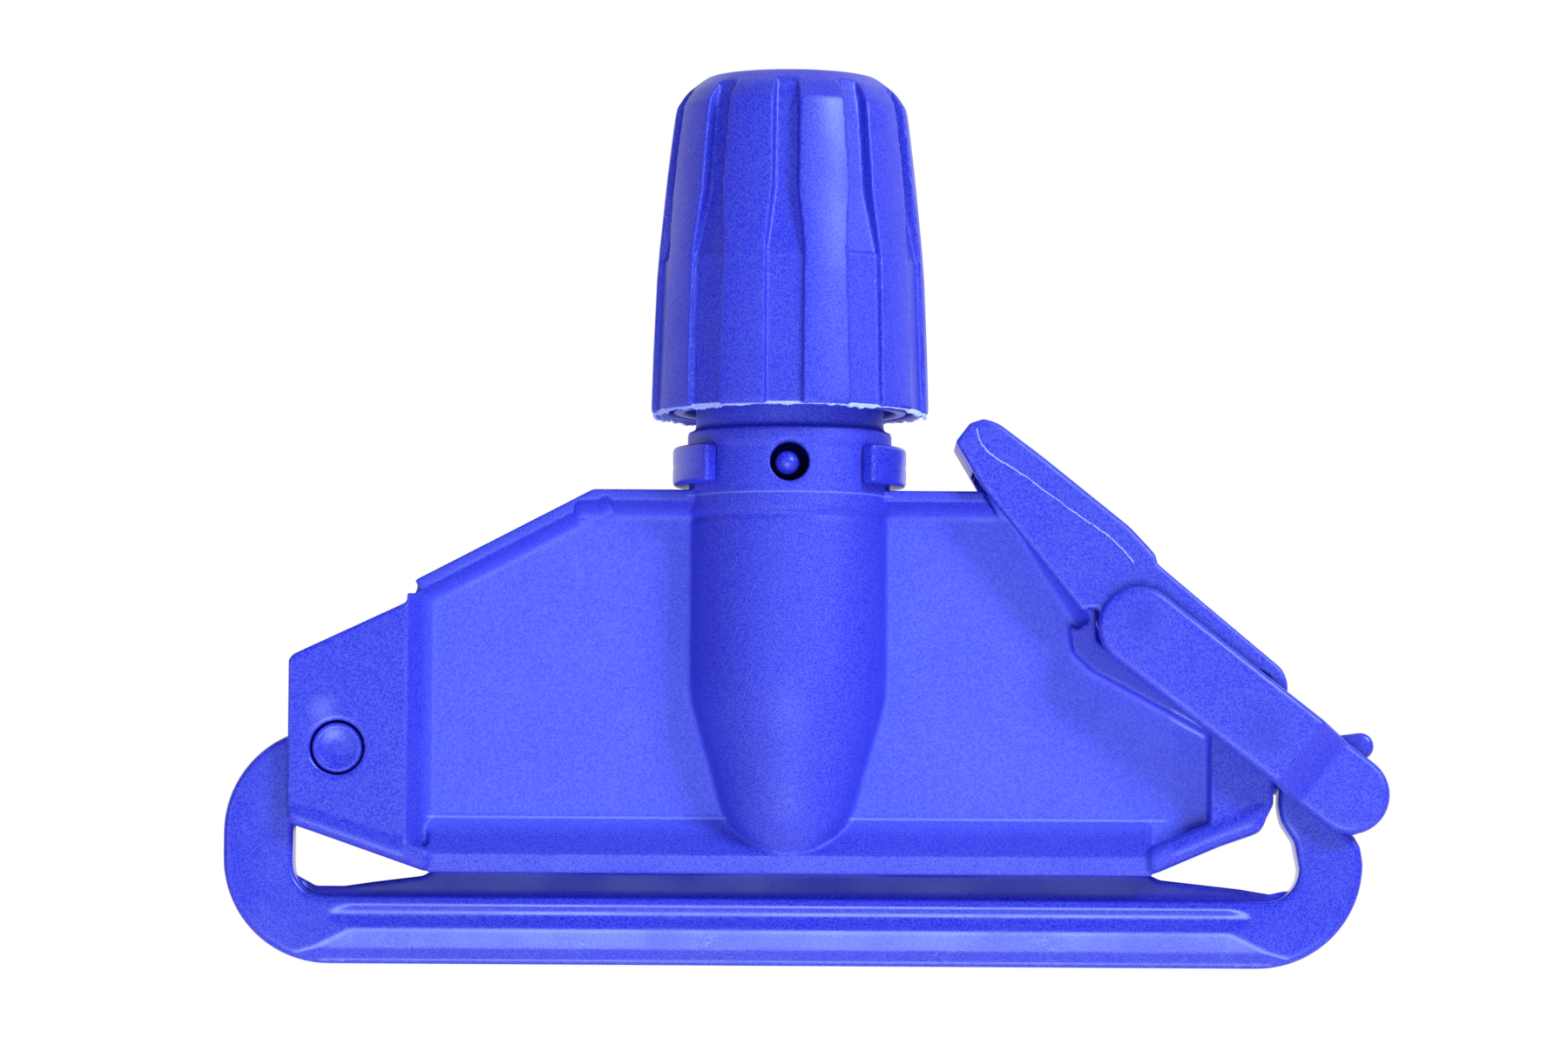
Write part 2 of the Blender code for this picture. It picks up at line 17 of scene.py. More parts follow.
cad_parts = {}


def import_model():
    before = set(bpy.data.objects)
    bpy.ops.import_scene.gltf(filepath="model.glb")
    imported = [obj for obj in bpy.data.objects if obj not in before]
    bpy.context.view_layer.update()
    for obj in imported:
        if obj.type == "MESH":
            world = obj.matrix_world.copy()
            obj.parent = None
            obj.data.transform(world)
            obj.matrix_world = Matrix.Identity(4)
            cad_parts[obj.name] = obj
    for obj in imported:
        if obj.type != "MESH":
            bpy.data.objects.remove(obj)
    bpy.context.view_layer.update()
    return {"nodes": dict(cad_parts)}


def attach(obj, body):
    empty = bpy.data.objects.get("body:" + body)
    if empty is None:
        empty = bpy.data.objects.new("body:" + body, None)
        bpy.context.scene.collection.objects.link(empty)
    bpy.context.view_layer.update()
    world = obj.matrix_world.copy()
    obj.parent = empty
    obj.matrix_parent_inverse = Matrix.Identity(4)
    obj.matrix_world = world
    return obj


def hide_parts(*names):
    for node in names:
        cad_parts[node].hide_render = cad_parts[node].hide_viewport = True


MM = 0.001
MOUTH_HEIGHT = 144.0
FULL_TURN = math.tau
LOG = logging.getLogger("mop_clamp")

Flat = tuple[float, float]
Colour = tuple[float, float, float, float]
Socket = bpy.types.NodeSocket
Solid = bpy.types.Object
ORIGIN = (0.0, 0.0, 0.0)
WHITE: Colour = (1.0, 1.0, 1.0, 1.0)
ROUND_ANGLE = math.radians(40)
DOUBLED = 0.002
PLASTIC_IOR = 1.49
GRAIN_STRENGTH = 0.35
MARK_EDGE = 0.3
SCUFF_DENSITY = 0.5


class Combine(Enum):
    """How one solid is worked into another."""

    ADD = "UNION"
    CUT = "DIFFERENCE"


class Body(Enum):
    """The moving bodies that the pieces ride on."""

    FRAME = "frame"
    COLLET = "collet"
    COLLAR = "collar"
    CLIP = "clip"
    BAR = "bar"
    LEVER = "lever"
    LINK = "link"


class Slot(Enum):
    """Names of the finishes."""

    BLUE = "blue_plastic"
    COLLAR = "collar_plastic"
    CLIP = "clip_plastic"
    PIN = "pin_plastic"


# ---------------------------------------------------------------- places and lines


def at(x: float, y: float, height: float) -> Vector:
    """Place in the frame, in metres, of a point given in millimetres.

    Args:
        x: Distance along the bar.
        y: Distance to the back.
        height: Height above the bar's foot.

    Returns:
        The point in metres.
    """
    return Vector((x, y, height - MOUTH_HEIGHT)) * MM


def arc(centre: Flat, radius: float, start: float, end: float, count: int) -> list[Flat]:
    """Points along part of a circle.

    Args:
        centre: Middle of the circle.
        radius: Its radius.
        start: First angle in degrees.
        end: Last angle in degrees.
        count: How many points, both ends included.

    Returns:
        The points in order.
    """
    angles = [math.radians(start + (end - start) * i / (count - 1)) for i in range(count)]
    return [(centre[0] + radius * math.cos(a), centre[1] + radius * math.sin(a)) for a in angles]


def flowing(line: Sequence[Flat], steps: int) -> list[Flat]:
    """A smooth curve through every point of a line.

    Args:
        line: The points to pass through.
        steps: Points per stretch.

    Returns:
        The points of the curve, both ends included.
    """
    padded = [line[0], *line, line[-1]]
    curve: list[Flat] = []
    for a, b, c, d in zip(padded, padded[1:], padded[2:], padded[3:]):
        for step in range(steps):
            t = step / steps
            weights = (
                -0.5 * t + t * t - 0.5 * t**3,
                1 - 2.5 * t * t + 1.5 * t**3,
                0.5 * t + 2 * t * t - 1.5 * t**3,
                -0.5 * t * t + 0.5 * t**3,
            )
            curve.append(tuple(sum(w * p[k] for w, p in zip(weights, (a, b, c, d))) for k in (0, 1)))
    return curve + [line[-1]]


def between(stations: Sequence[Flat], place: float) -> float:
    """Straight-line value between (place, value) stations.

    Args:
        stations: The stations in rising order.
        place: Where the value is wanted.

    Returns:
        The value there.
    """
    for (p0, v0), (p1, v1) in zip(stations, stations[1:]):
        if place <= p1:
            return v0 + (v1 - v0) * max(place - p0, 0.0) / (p1 - p0)
    return stations[-1][1]


# ---------------------------------------------------------------- shaping by hand


def put_down() -> None:
    """Leave edit mode and select nothing."""
    held = bpy.context.view_layer.objects.active
    if held is not None and held.mode == "EDIT":
        bpy.ops.object.mode_set(mode="OBJECT")
    bpy.ops.object.select_all(action="DESELECT")


def pick_up(piece: Solid) -> None:
    """Select one piece and nothing else."""
    put_down()
    piece.select_set(True)
    bpy.context.view_layer.objects.active = piece


def trace(name: str, line: Sequence[Vector]) -> Solid:
    """Draw a line of edges by extruding a single vertex from point to point.

    Args:
        name: Name of the new piece.
        line: The points in metres.

    Returns:
        The piece, still in edit mode.
    """
    put_down()
    bpy.ops.mesh.primitive_plane_add(size=MM, location=line[0])
    piece = bpy.context.view_layer.objects.active
    piece.name = name
    piece.data.name = name
    bpy.ops.object.transform_apply(location=True, rotation=True, scale=True)
    bpy.ops.object.mode_set(mode="EDIT")
    bpy.ops.mesh.select_mode(type="VERT")
    bpy.ops.mesh.select_all(action="SELECT")
    bpy.ops.mesh.merge(type="CENTER")
    for start, end in zip(line, line[1:]):
        bpy.ops.mesh.extrude_region_move(TRANSFORM_OT_translate={"value": end - start})
    return piece


def close_up(piece: Solid) -> Solid:
    """Merge doubled vertices, turn every face outwards and leave edit mode."""
    bpy.ops.mesh.select_all(action="SELECT")
    bpy.ops.mesh.remove_doubles(threshold=DOUBLED * MM)
    bpy.ops.mesh.normals_make_consistent(inside=False)
    bpy.ops.object.mode_set(mode="OBJECT")
    return piece


def pushed(name: str, outline: Sequence[Vector], push: Vector) -> Solid:
    """Fill a closed outline and extrude it.

    Args:
        name: Name of the new piece.
        outline: Corner points in metres.
        push: How far and which way the face is extruded, in metres.

    Returns:
        The closed solid.
    """
    piece = trace(name, outline)
    bpy.ops.mesh.select_all(action="SELECT")
    bpy.ops.mesh.edge_face_add()
    bpy.ops.mesh.select_all(action="SELECT")
    bpy.ops.mesh.extrude_region_move(TRANSFORM_OT_translate={"value": push})
    return close_up(piece)


def side_plate(name: str, outline: Sequence[Flat], y_front: float, y_back: float) -> Solid:
    """Plate with an outline of (x, height) points, from one y to another."""
    return pushed(name, [at(x, y_front, z) for x, z in outline], Vector((0, (y_back - y_front) * MM, 0)))


def plan_plate(name: str, outline: Sequence[Flat], low: float, high: float) -> Solid:
    """Plate with an outline of (x, y) points, from one height to another."""
    return pushed(name, [at(x, y, low) for x, y in outline], Vector((0, 0, (high - low) * MM)))


def cross_rod(name: str, centre: Flat, radius: float, y_front: float, y_back: float) -> Solid:
    """Round rod along Y at (x, height)."""
    return side_plate(name, arc(centre, radius, 0, 352.5, 48), y_front, y_back)


def turned(name: str, profile: Sequence[Flat], steps: int) -> Solid:
    """Spin a closed profile of (radius, height) points about the handle's axis.

    Args:
        name: Name of the new piece.
        profile: The profile; a solid starts and ends on the axis.
        steps: Steps of the spin.

    Returns:
        The closed solid.
    """
    line = list(profile)
    if profile[0][0] > 0:
        line.append(profile[0])
    piece = trace(name, [at(r, 0, z) for r, z in line])
    bpy.ops.mesh.select_all(action="SELECT")
    bpy.ops.mesh.spin(steps=steps, angle=FULL_TURN, center=(0, 0, 0), axis=(0, 0, 1))
    return close_up(piece)


def worked(piece: Solid, kind: str, **settings: object) -> Solid:
    """Add one modifier, set it and apply it.

    Args:
        piece: The piece to work on.
        kind: Kind of modifier.
        settings: Its values.

    Returns:
        The same piece.
    """
    pick_up(piece)
    step = piece.modifiers.new(kind.title(), kind)
    for key, value in settings.items():
        setattr(step, key, value)
    bpy.ops.object.modifier_apply(modifier=step.name)
    return piece


def rounded_off(piece: Solid) -> Solid:
    """Shade the round faces of a turned piece smooth and keep its sharp edges."""
    pick_up(piece)
    bpy.ops.object.shade_smooth_by_angle(angle=ROUND_ANGLE)
    return piece


def eased(piece: Solid, width: float, segments: int = 3, angle: float = 30.0) -> Solid:
    """Round the sharp edges of a piece by a width in millimetres."""
    return worked(
        piece, "BEVEL", width=width * MM, segments=segments, limit_method="ANGLE", angle_limit=math.radians(
            angle
        )
    )


def combined(piece: Solid, tools: Sequence[Solid], how: Combine) -> Solid:
    """Work solids into a piece one after another, and remove them.

    Args:
        piece: The piece to work on.
        tools: The solids to add or cut.
        how: Whether they are added or cut.

    Returns:
        The same piece.
    """
    for tool in tools:
        worked(piece, "BOOLEAN", operation=how.value, solver="EXACT", object=tool)
        bpy.data.objects.remove(tool, do_unlink=True)
    return piece


def gathered(parts: Sequence[Solid], cutters: Sequence[Solid]) -> Solid:
    """Cut the same solids out of every part and join the parts, ready to be run together.

    Args:
        parts: Closed parts that overlap one another.
        cutters: What is cut out of them; they are removed.

    Returns:
        The joined parts.
    """
    for cutter in cutters:
        for part in parts:
            worked(part, "BOOLEAN", operation=Combine.CUT.value, solver="EXACT", object=cutter)
        bpy.data.objects.remove(cutter, do_unlink=True)
    put_down()
    for part in parts:
        part.select_set(True)
    bpy.context.view_layer.objects.active = parts[0]
    bpy.ops.object.join()
    return parts[0]


def moulded(piece: Solid, grain: float, softness: int, triangles: int) -> Solid:
    """Run a hard-edged solid together into one soft moulding.

    Args:
        piece: The solid.
        grain: Size of the new faces in millimetres.
        softness: Smoothing passes, which set the radius of its edges.
        triangles: About how many triangles are kept.

    Returns:
        The same piece.
    """
    worked(piece, "REMESH", mode="VOXEL", voxel_size=grain * MM, adaptivity=0.0)
    worked(piece, "SMOOTH", factor=0.5, iterations=softness)
    made = sum(len(face.vertices) - 2 for face in piece.data.polygons)
    if made > triangles:
        worked(piece, "DECIMATE", decimate_type="COLLAPSE", ratio=triangles / made)
    pick_up(piece)
    bpy.ops.object.shade_smooth()
    return piece


def pick_vertices(piece: Solid, wanted: Callable[[Vector], bool]) -> None:
    """Select vertices by their place and enter edit mode.

    Args:
        piece: The piece to pick on.
        wanted: Says from a place in metres whether the vertex is picked.
    """
    pick_up(piece)
    bpy.ops.object.mode_set(mode="EDIT")
    bpy.ops.mesh.select_mode(type="VERT")
    bpy.ops.mesh.select_all(action="DESELECT")
    bpy.ops.object.mode_set(mode="OBJECT")
    for vertex in piece.data.vertices:
        vertex.select = wanted(vertex.co)
    bpy.ops.object.mode_set(mode="EDIT")


# ---------------------------------------------------------------- shader sketching


class Sketch:
    """Adds and joins the nodes of one shader tree."""

    def __init__(self, tree: bpy.types.NodeTree) -> None:
        """Hold the tree."""
        self.tree = tree

    def add(self, kind: str, **settings: object) -> bpy.types.Node:
        """Add a node and set its options."""
        node = self.tree.nodes.new(kind)
        for key, value in settings.items():
            setattr(node, key, value)
        return node

    def feed(self, socket: Socket, value: object) -> None:
        """Join another socket to this one, or set a plain value."""
        if isinstance(value, Socket):
            self.tree.links.new(value, socket)
        else:
            socket.default_value = value

    def maths(self, operation: str, *values: object) -> Socket:
        """One step of arithmetic."""
        node = self.add("ShaderNodeMath", operation=operation)
        for socket, value in zip(node.inputs, values):
            self.feed(socket, value)
        return node.outputs[0]

    def parts(self, vector: Socket) -> bpy.types.NodeOutputs:
        """Coordinates of a place, by axis."""
        node = self.add("ShaderNodeSeparateXYZ")
        self.feed(node.inputs[0], vector)
        return node.outputs

    def spread(
        self, value: object, low: object, high: object, out_low: object = 0.0, out_high: object = 1.0
    ) -> Socket:
        """Smooth step of a value between two limits.

        Args:
            value: Socket or number to spread.
            low: Value that gives the first result.
            high: Value that gives the second result.
            out_low: First result.
            out_high: Second result.

        Returns:
            Socket that carries the result.
        """
        node = self.add("ShaderNodeMapRange", interpolation_type="SMOOTHSTEP")
        names = ("Value", "From Min", "From Max", "To Min", "To Max")
        for name, entry in zip(names, (value, low, high, out_low, out_high)):
            self.feed(node.inputs[name], entry)
        return node.outputs[0]

    def noise(self, vector: object, scale: object, detail: float, roughness: float = 0.5) -> Socket:
        """Cloudy noise between 0 and 1.

        Args:
            vector: Place to read.
            scale: Repeats per metre.
            detail: Number of finer layers.
            roughness: Strength of the finer layers.

        Returns:
            Socket that carries the noise.
        """
        node = self.add("ShaderNodeTexNoise")
        for name, entry in zip(
            ("Vector", "Scale", "Detail", "Roughness"), (vector, scale, detail, roughness)
        ):
            self.feed(node.inputs[name], entry)
        return node.outputs["Fac"]

    def tint(self, share: object, under: object, over: object) -> Socket:
        """Lay one colour over another by a share."""
        node = self.add("ShaderNodeMix", data_type="RGBA")
        for socket, value in zip((node.inputs[0], node.inputs[6], node.inputs[7]), (share, under, over)):
            self.feed(socket, value)
        return node.outputs[2]


class Effect(Enum):
    """Shared surface effects, each made once as a node group."""

    GRAIN = "moulded_grain"
    # painted light: thin walls made lighter as if lit through
    PAINTED_WEB_LIGHT = "painted_thin_web_light"
    LINE = "fine_line"
    SPOT = "soft_spot"
    SCUFF = "rubbed_scuffs"
    SPECK = "dirt_specks"
    FLOW = "flow_marks"


class EffectBook:
    """Makes each shared effect the first time that it is asked for."""

    def __init__(self) -> None:
        """Start with no effects made."""
        self.made: dict[Effect, bpy.types.NodeTree] = {}

    def place(self, sketch: Sketch, effect: Effect, **values: object) -> bpy.types.Node:
        """Put an effect into a material with its own values.

        Args:
            sketch: The material's sketch.
            effect: Which effect.
            values: Socket values by name, with _ for a space.

        Returns:
            The group node.
        """
        node = sketch.add("ShaderNodeGroup")
        node.node_tree = self.made.get(effect) or self.make(effect)
        for name, value in values.items():
            sketch.feed(node.inputs[name.replace("_", " ")], value)
        return node

    def make(self, effect: Effect) -> bpy.types.NodeTree:
        """Make an effect's node group."""
        tree = bpy.data.node_groups.new(effect.value, "ShaderNodeTree")
        self.made[effect] = tree
        getattr(self, "_" + effect.value)(tree)
        return tree

    @staticmethod
    def _sockets(tree: bpy.types.NodeTree, inputs: Sequence[tuple], outputs: Sequence[str]) -> tuple:
        """Name a group's sockets.

        Args:
            tree: The group.
            inputs: (name, default) pairs; a tuple as default makes a vector socket.
            outputs: Names of the value outputs.

        Returns:
            Its sketch, its input sockets and its output node.
        """
        for name, default in inputs:
            kind = "NodeSocketVector" if isinstance(default, tuple) else "NodeSocketFloat"
            tree.interface.new_socket(name=name, in_out="INPUT", socket_type=kind).default_value = default
        for name in outputs:
            tree.interface.new_socket(name=name, in_out="OUTPUT", socket_type="NodeSocketFloat")
        sketch = Sketch(tree)
        return sketch, sketch.add("NodeGroupInput").outputs, sketch.add("NodeGroupOutput").inputs

    def _moulded_grain(self, tree: bpy.types.NodeTree) -> None:
        """Spark-eroded grain as a height, and a slow mottle of the pigment.

        Args:
            tree: The group's empty tree.
        """
        s, given, out = self._sockets(
            tree, [("Vector", ORIGIN), ("Fine", 2600.0)], ["Height", "Mottle", "Grit"]
        )
        shares = ((1.0, 2.0), (0.16, 3.0), (0.03, 4.0), (1.4, 1.0))
        scales = [s.maths("MULTIPLY", given["Fine"], share) for share, _ in shares]
        fine, broad, slow, grit = (
            s.noise(given["Vector"], k, detail) for k, (_, detail) in zip(scales, shares)
        )
        s.feed(out["Height"], s.maths("ADD", s.maths("MULTIPLY", fine, 0.7), s.maths("MULTIPLY", broad, 0.3)))
        s.feed(out["Mottle"], slow)
        s.feed(out["Grit"], s.spread(grit, 0.3, 0.7))

    def _painted_thin_web_light(self, tree: bpy.types.NodeTree) -> None:
        """Mask of painted light through thin walls: 1 where the moulding is a thin web on its middle plane, 0
        where it is thick.

        Args:
            tree: The group's empty tree.
        """
        s, given, out = self._sockets(
            tree, [("Vector", ORIGIN), ("Half", 0.0017), ("Fade", 0.0028)], ["Mask"]
        )
        depth = s.maths("ABSOLUTE", s.parts(given["Vector"])["Y"])
        share = s.maths("DIVIDE", s.maths("SUBTRACT", depth, given["Half"]), given["Fade"])
        s.feed(out["Mask"], s.spread(share, 0.0, 1.0, 1.0, 0.0))

    def _fine_line(self, tree: bpy.types.NodeTree) -> None:
        """A thin line where a coordinate passes a place, used for painted highlights and painted shade.

        Args:
            tree: The group's empty tree.
        """
        s, given, out = self._sockets(
            tree, [("Coordinate", 0.0), ("Place", 0.0), ("Width", 0.0002)], ["Mask"]
        )
        away = s.maths("ABSOLUTE", s.maths("SUBTRACT", given["Coordinate"], given["Place"]))
        s.feed(out["Mask"], s.spread(s.maths("DIVIDE", away, given["Width"]), 0.3, 1.0, 1.0, 0.0))

    def _soft_spot(self, tree: bpy.types.NodeTree) -> None:
        """A soft round spot about a place, used for painted shade in sink marks and for painted highlights.

        Args:
            tree: The group's empty tree.
        """
        s, given, out = self._sockets(
            tree, [("Vector", ORIGIN), ("Centre", ORIGIN), ("Radius", 0.004)], ["Mask"]
        )
        gap = s.add("ShaderNodeVectorMath", operation="DISTANCE")
        s.feed(gap.inputs[0], given["Vector"])
        s.feed(gap.inputs[1], given["Centre"])
        s.feed(
            out["Mask"],
            s.spread(s.maths("DIVIDE", gap.outputs["Value"], given["Radius"]), 0.1, 1.0, 1.0, 0.0),
        )

    def _rubbed_scuffs(self, tree: bpy.types.NodeTree) -> None:
        """Short pale scuffs and scratches, longer along X.

        Args:
            tree: The group's empty tree.
        """
        s, given, out = self._sockets(tree, [("Vector", ORIGIN), ("Density", 0.5)], ["Mask"])
        stretch = s.add("ShaderNodeVectorMath", operation="MULTIPLY")
        s.feed(stretch.inputs[0], given["Vector"])
        stretch.inputs[1].default_value = (0.5, 1.0, 1.0)
        bent = s.noise(stretch.outputs[0], 420.0, 3.0, 0.7)
        thin = s.maths("ABSOLUTE", s.maths("SUBTRACT", bent, 0.5))
        scratch = s.spread(thin, 0.0, 0.012, 1.0, 0.0)
        patch = s.spread(s.noise(given["Vector"], 55.0, 2.0), s.maths("SUBTRACT", 1.0, given["Density"]), 0.8)
        s.feed(out["Mask"], s.maths("MULTIPLY", scratch, patch))

    def _dirt_specks(self, tree: bpy.types.NodeTree) -> None:
        """Few small dark specks.

        Args:
            tree: The group's empty tree.
        """
        s, given, out = self._sockets(tree, [("Vector", ORIGIN), ("Scale", 260.0), ("Size", 0.07)], ["Mask"])
        cells = s.add("ShaderNodeTexVoronoi")
        s.feed(cells.inputs["Vector"], given["Vector"])
        s.feed(cells.inputs["Scale"], given["Scale"])
        near = s.spread(s.maths("DIVIDE", cells.outputs["Distance"], given["Size"]), 0.6, 1.0, 1.0, 0.0)
        split = s.add("ShaderNodeSeparateColor")
        s.feed(split.inputs[0], cells.outputs["Color"])
        s.feed(out["Mask"], s.maths("MULTIPLY", near, s.maths("GREATER_THAN", split.outputs[0], 0.72)))

    def _flow_marks(self, tree: bpy.types.NodeTree) -> None:
        """Broad soft bands left by the plastic as it flowed."""
        s, given, out = self._sockets(tree, [("Vector", ORIGIN), ("Scale", 28.0)], ["Mask"])
        s.feed(out["Mask"], s.spread(s.noise(given["Vector"], given["Scale"], 1.5), 0.3, 0.7))


@dataclass(frozen=True)
class PaintedLine:
    """A fine line across a piece where one coordinate passes a place: a painted highlight, or a band of
    painted shade when dark.
    """

    axis: str
    place: float
    width: float
    share: float
    reach: float = 1000.0
    depth: float = 1000.0
    # dark marks a band of painted shade; other lines are painted highlights
    dark: bool = False


@dataclass(frozen=True)
class PaintedSpot:
    """A soft spot at a place: a painted highlight when pale, otherwise painted shade deeper than the plastic
    round it.
    """

    x: float
    y: float
    height: float
    radius: float
    share: float
    pale: bool = False


@dataclass(frozen=True)
class MouldedPlastic:
    """Dyed polypropylene straight from the mould, with some light and shade painted into its colour."""

    name: str
    base: Colour = (0.01, 0.009, 0.56, 1.0)
    # deeper tint for mottle, flow marks and specks, and for painted shade in sink marks
    deep: Colour = (0.005, 0.004, 0.38, 1.0)
    # colour of the painted light that passes through thin walls
    painted_web_light_colour: Colour = (0.048, 0.054, 0.76, 1.0)
    # pale tint for grit and scuffs, and for painted highlights
    pale: Colour = (0.5, 0.6, 1.0, 1.0)
    # painted shade for dark lines
    shade: Colour = (0.004, 0.002, 0.2, 1.0)
    roughness: float = 0.4
    grain_depth: float = 0.03
    mottle: float = 0.2
    grit: float = 0.08
    polished: float = 0.32
    polished_from: float = 0.0
    scuff_band: Flat = (-1000.0, 1000.0)
    # share of that painted light through thin walls
    painted_web_light_share: float = 0.0
    scuffs: float = 0.0
    specks: float = 0.0
    lines: tuple[PaintedLine, ...] = ()
    spots: tuple[PaintedSpot, ...] = ()

    def make(self, book: EffectBook) -> bpy.types.Material:
        """Build the material.

        Args:
            book: The shared effects.

        Returns:
            The material.
        """
        material = bpy.data.materials.new(self.name)
        material.use_nodes = True
        sketch = Sketch(material.node_tree)
        shader = material.node_tree.nodes["Principled BSDF"]
        place = sketch.add("ShaderNodeTexCoord").outputs["Object"]
        grain = book.place(sketch, Effect.GRAIN, Vector=place)
        colour = self._pigment(sketch, book, place, grain)
        colour = self._marks(sketch, book, place, colour)
        sketch.feed(shader.inputs["Base Color"], colour)
        rough = sketch.spread(grain.outputs["Mottle"], 0.3, 0.7, self.roughness - 0.05, self.roughness + 0.06)
        if self.polished_from > 0:
            rough = self._polish(sketch, place, rough)
        sketch.feed(shader.inputs["Roughness"], rough)
        bump = sketch.add("ShaderNodeBump")
        bump.inputs["Strength"].default_value = GRAIN_STRENGTH
        bump.inputs["Distance"].default_value = self.grain_depth * MM
        sketch.feed(bump.inputs["Height"], grain.outputs["Height"])
        sketch.feed(shader.inputs["Normal"], bump.outputs["Normal"])
        shader.inputs["IOR"].default_value = PLASTIC_IOR
        shader.inputs["Metallic"].default_value = 0.0
        return material

    def _polish(self, sketch: Sketch, place: Socket, rough: Socket) -> Socket:
        """Roughness that drops where the mould was polished, beyond a distance along X."""
        away = sketch.maths("ABSOLUTE", sketch.parts(place)["X"])
        edge = self.polished_from * MM
        return sketch.spread(away, edge - 0.4 * MM, edge + 0.4 * MM, rough, self.polished)

    def _pigment(self, sketch: Sketch, book: EffectBook, place: Socket, grain: bpy.types.Node) -> Socket:
        """Colour of the bulk: mottle, flow, grit and painted light where it passes through thin walls.

        Args:
            sketch: The material's sketch.
            book: The shared effects.
            place: Object coordinates.
            grain: The placed grain effect.

        Returns:
            Socket that carries the colour.
        """
        flow = book.place(sketch, Effect.FLOW, Vector=place)
        colour = sketch.tint(
            sketch.maths("MULTIPLY", flow.outputs["Mask"], self.mottle), self.base, self.deep
        )
        # painted light: thin walls lightened as if lit through
        if self.painted_web_light_share > 0:
            wall = book.place(sketch, Effect.PAINTED_WEB_LIGHT, Vector=place)
            colour = sketch.tint(
                sketch.maths("MULTIPLY", wall.outputs["Mask"], self.painted_web_light_share), colour, self.painted_web_light_colour
            )
        cloud = sketch.maths("MULTIPLY", grain.outputs["Mottle"], self.mottle)
        colour = sketch.tint(cloud, colour, self.deep)
        return sketch.tint(sketch.maths("MULTIPLY", grain.outputs["Grit"], self.grit), colour, self.pale)

    def _marks(self, sketch: Sketch, book: EffectBook, place: Socket, colour: Socket) -> Socket:
        """Painted highlight and shade lines and spots, then scuffs and specks, over the bulk colour.

        Args:
            sketch: The material's sketch.
            book: The shared effects.
            place: Object coordinates.
            colour: Colour under the marks.

        Returns:
            Socket that carries the colour.
        """
        parts = sketch.parts(place)
        # painted lines: pale ones are painted highlights, dark ones painted shade
        for line in self.lines:
            offset = MOUTH_HEIGHT if line.axis == "Z" else 0.0
            made = book.place(
                sketch,
                Effect.LINE,
                Coordinate=parts[line.axis],
                Place=(line.place - offset) * MM,
                Width=line.width * MM,
            )
            share = sketch.maths("MULTIPLY", made.outputs["Mask"], line.share)
            for axis, limit in (("X", line.reach), ("Y", line.depth)):
                away = sketch.maths("ABSOLUTE", parts[axis])
                within = sketch.spread(away, (limit - 0.5) * MM, (limit + 0.5) * MM, 1.0, 0.0)
                share = sketch.maths("MULTIPLY", share, within)
            colour = sketch.tint(share, colour, self.shade if line.dark else self.pale)
        # painted spots: pale ones are painted highlights, the others painted shade
        for spot in self.spots:
            centre = at(spot.x, spot.y, spot.height)
            made = book.place(
                sketch, Effect.SPOT, Vector=place, Centre=tuple(centre), Radius=spot.radius * MM
            )
            over = self.pale if spot.pale else self.deep
            colour = sketch.tint(sketch.maths("MULTIPLY", made.outputs["Mask"], spot.share), colour, over)
        if self.scuffs > 0:
            rubbed = book.place(sketch, Effect.SCUFF, Vector=place, Density=SCUFF_DENSITY)
            edge = MARK_EDGE * MM
            low, high = ((limit - MOUTH_HEIGHT) * MM for limit in self.scuff_band)
            above = sketch.spread(parts["Z"], low - edge, low + edge)
            below = sketch.spread(parts["Z"], high - edge, high + edge, 1.0, 0.0)
            inside = sketch.maths("MULTIPLY", above, below)
            share = sketch.maths("MULTIPLY", inside, self.scuffs)
            colour = sketch.tint(sketch.maths("MULTIPLY", rubbed.outputs["Mask"], share), colour, self.pale)
        if self.specks > 0:
            dirt = book.place(sketch, Effect.SPECK, Vector=place)
            colour = sketch.tint(
                sketch.maths("MULTIPLY", dirt.outputs["Mask"], self.specks), colour, self.deep
            )
        return colour


# ---------------------------------------------------------------- richer solids


def lofted(name: str, sections: Sequence[Sequence[Vector]]) -> Solid:
    """Extrude a face from section to section.

    Args:
        name: Name of the new piece.
        sections: Rings of as many points each, in metres.

    Returns:
        The closed solid.
    """
    piece = trace(name, sections[0])
    bpy.ops.mesh.select_all(action="SELECT")
    bpy.ops.mesh.edge_face_add()
    bpy.ops.mesh.select_all(action="SELECT")
    for before, ring in zip(sections, sections[1:]):
        bpy.ops.mesh.extrude_region_move(TRANSFORM_OT_translate={"value": (0, 0, 0)})
        bpy.ops.object.mode_set(mode="OBJECT")
        for vertex in (v for v in piece.data.vertices if v.select):
            twin = min(range(len(ring)), key=lambda i: (vertex.co - before[i]).length_squared)
            vertex.co = ring[twin]
        bpy.ops.object.mode_set(mode="EDIT")
    return close_up(piece)


def cross_turned(name: str, centre: Flat, stations: Sequence[Flat]) -> Solid:
    """Round solid along Y from (radius, y) stations about (x, height)."""
    rings = [[at(x, y, z) for x, z in arc(centre, r, 0, 352.5, 48)] for r, y in stations]
    return lofted(name, rings)


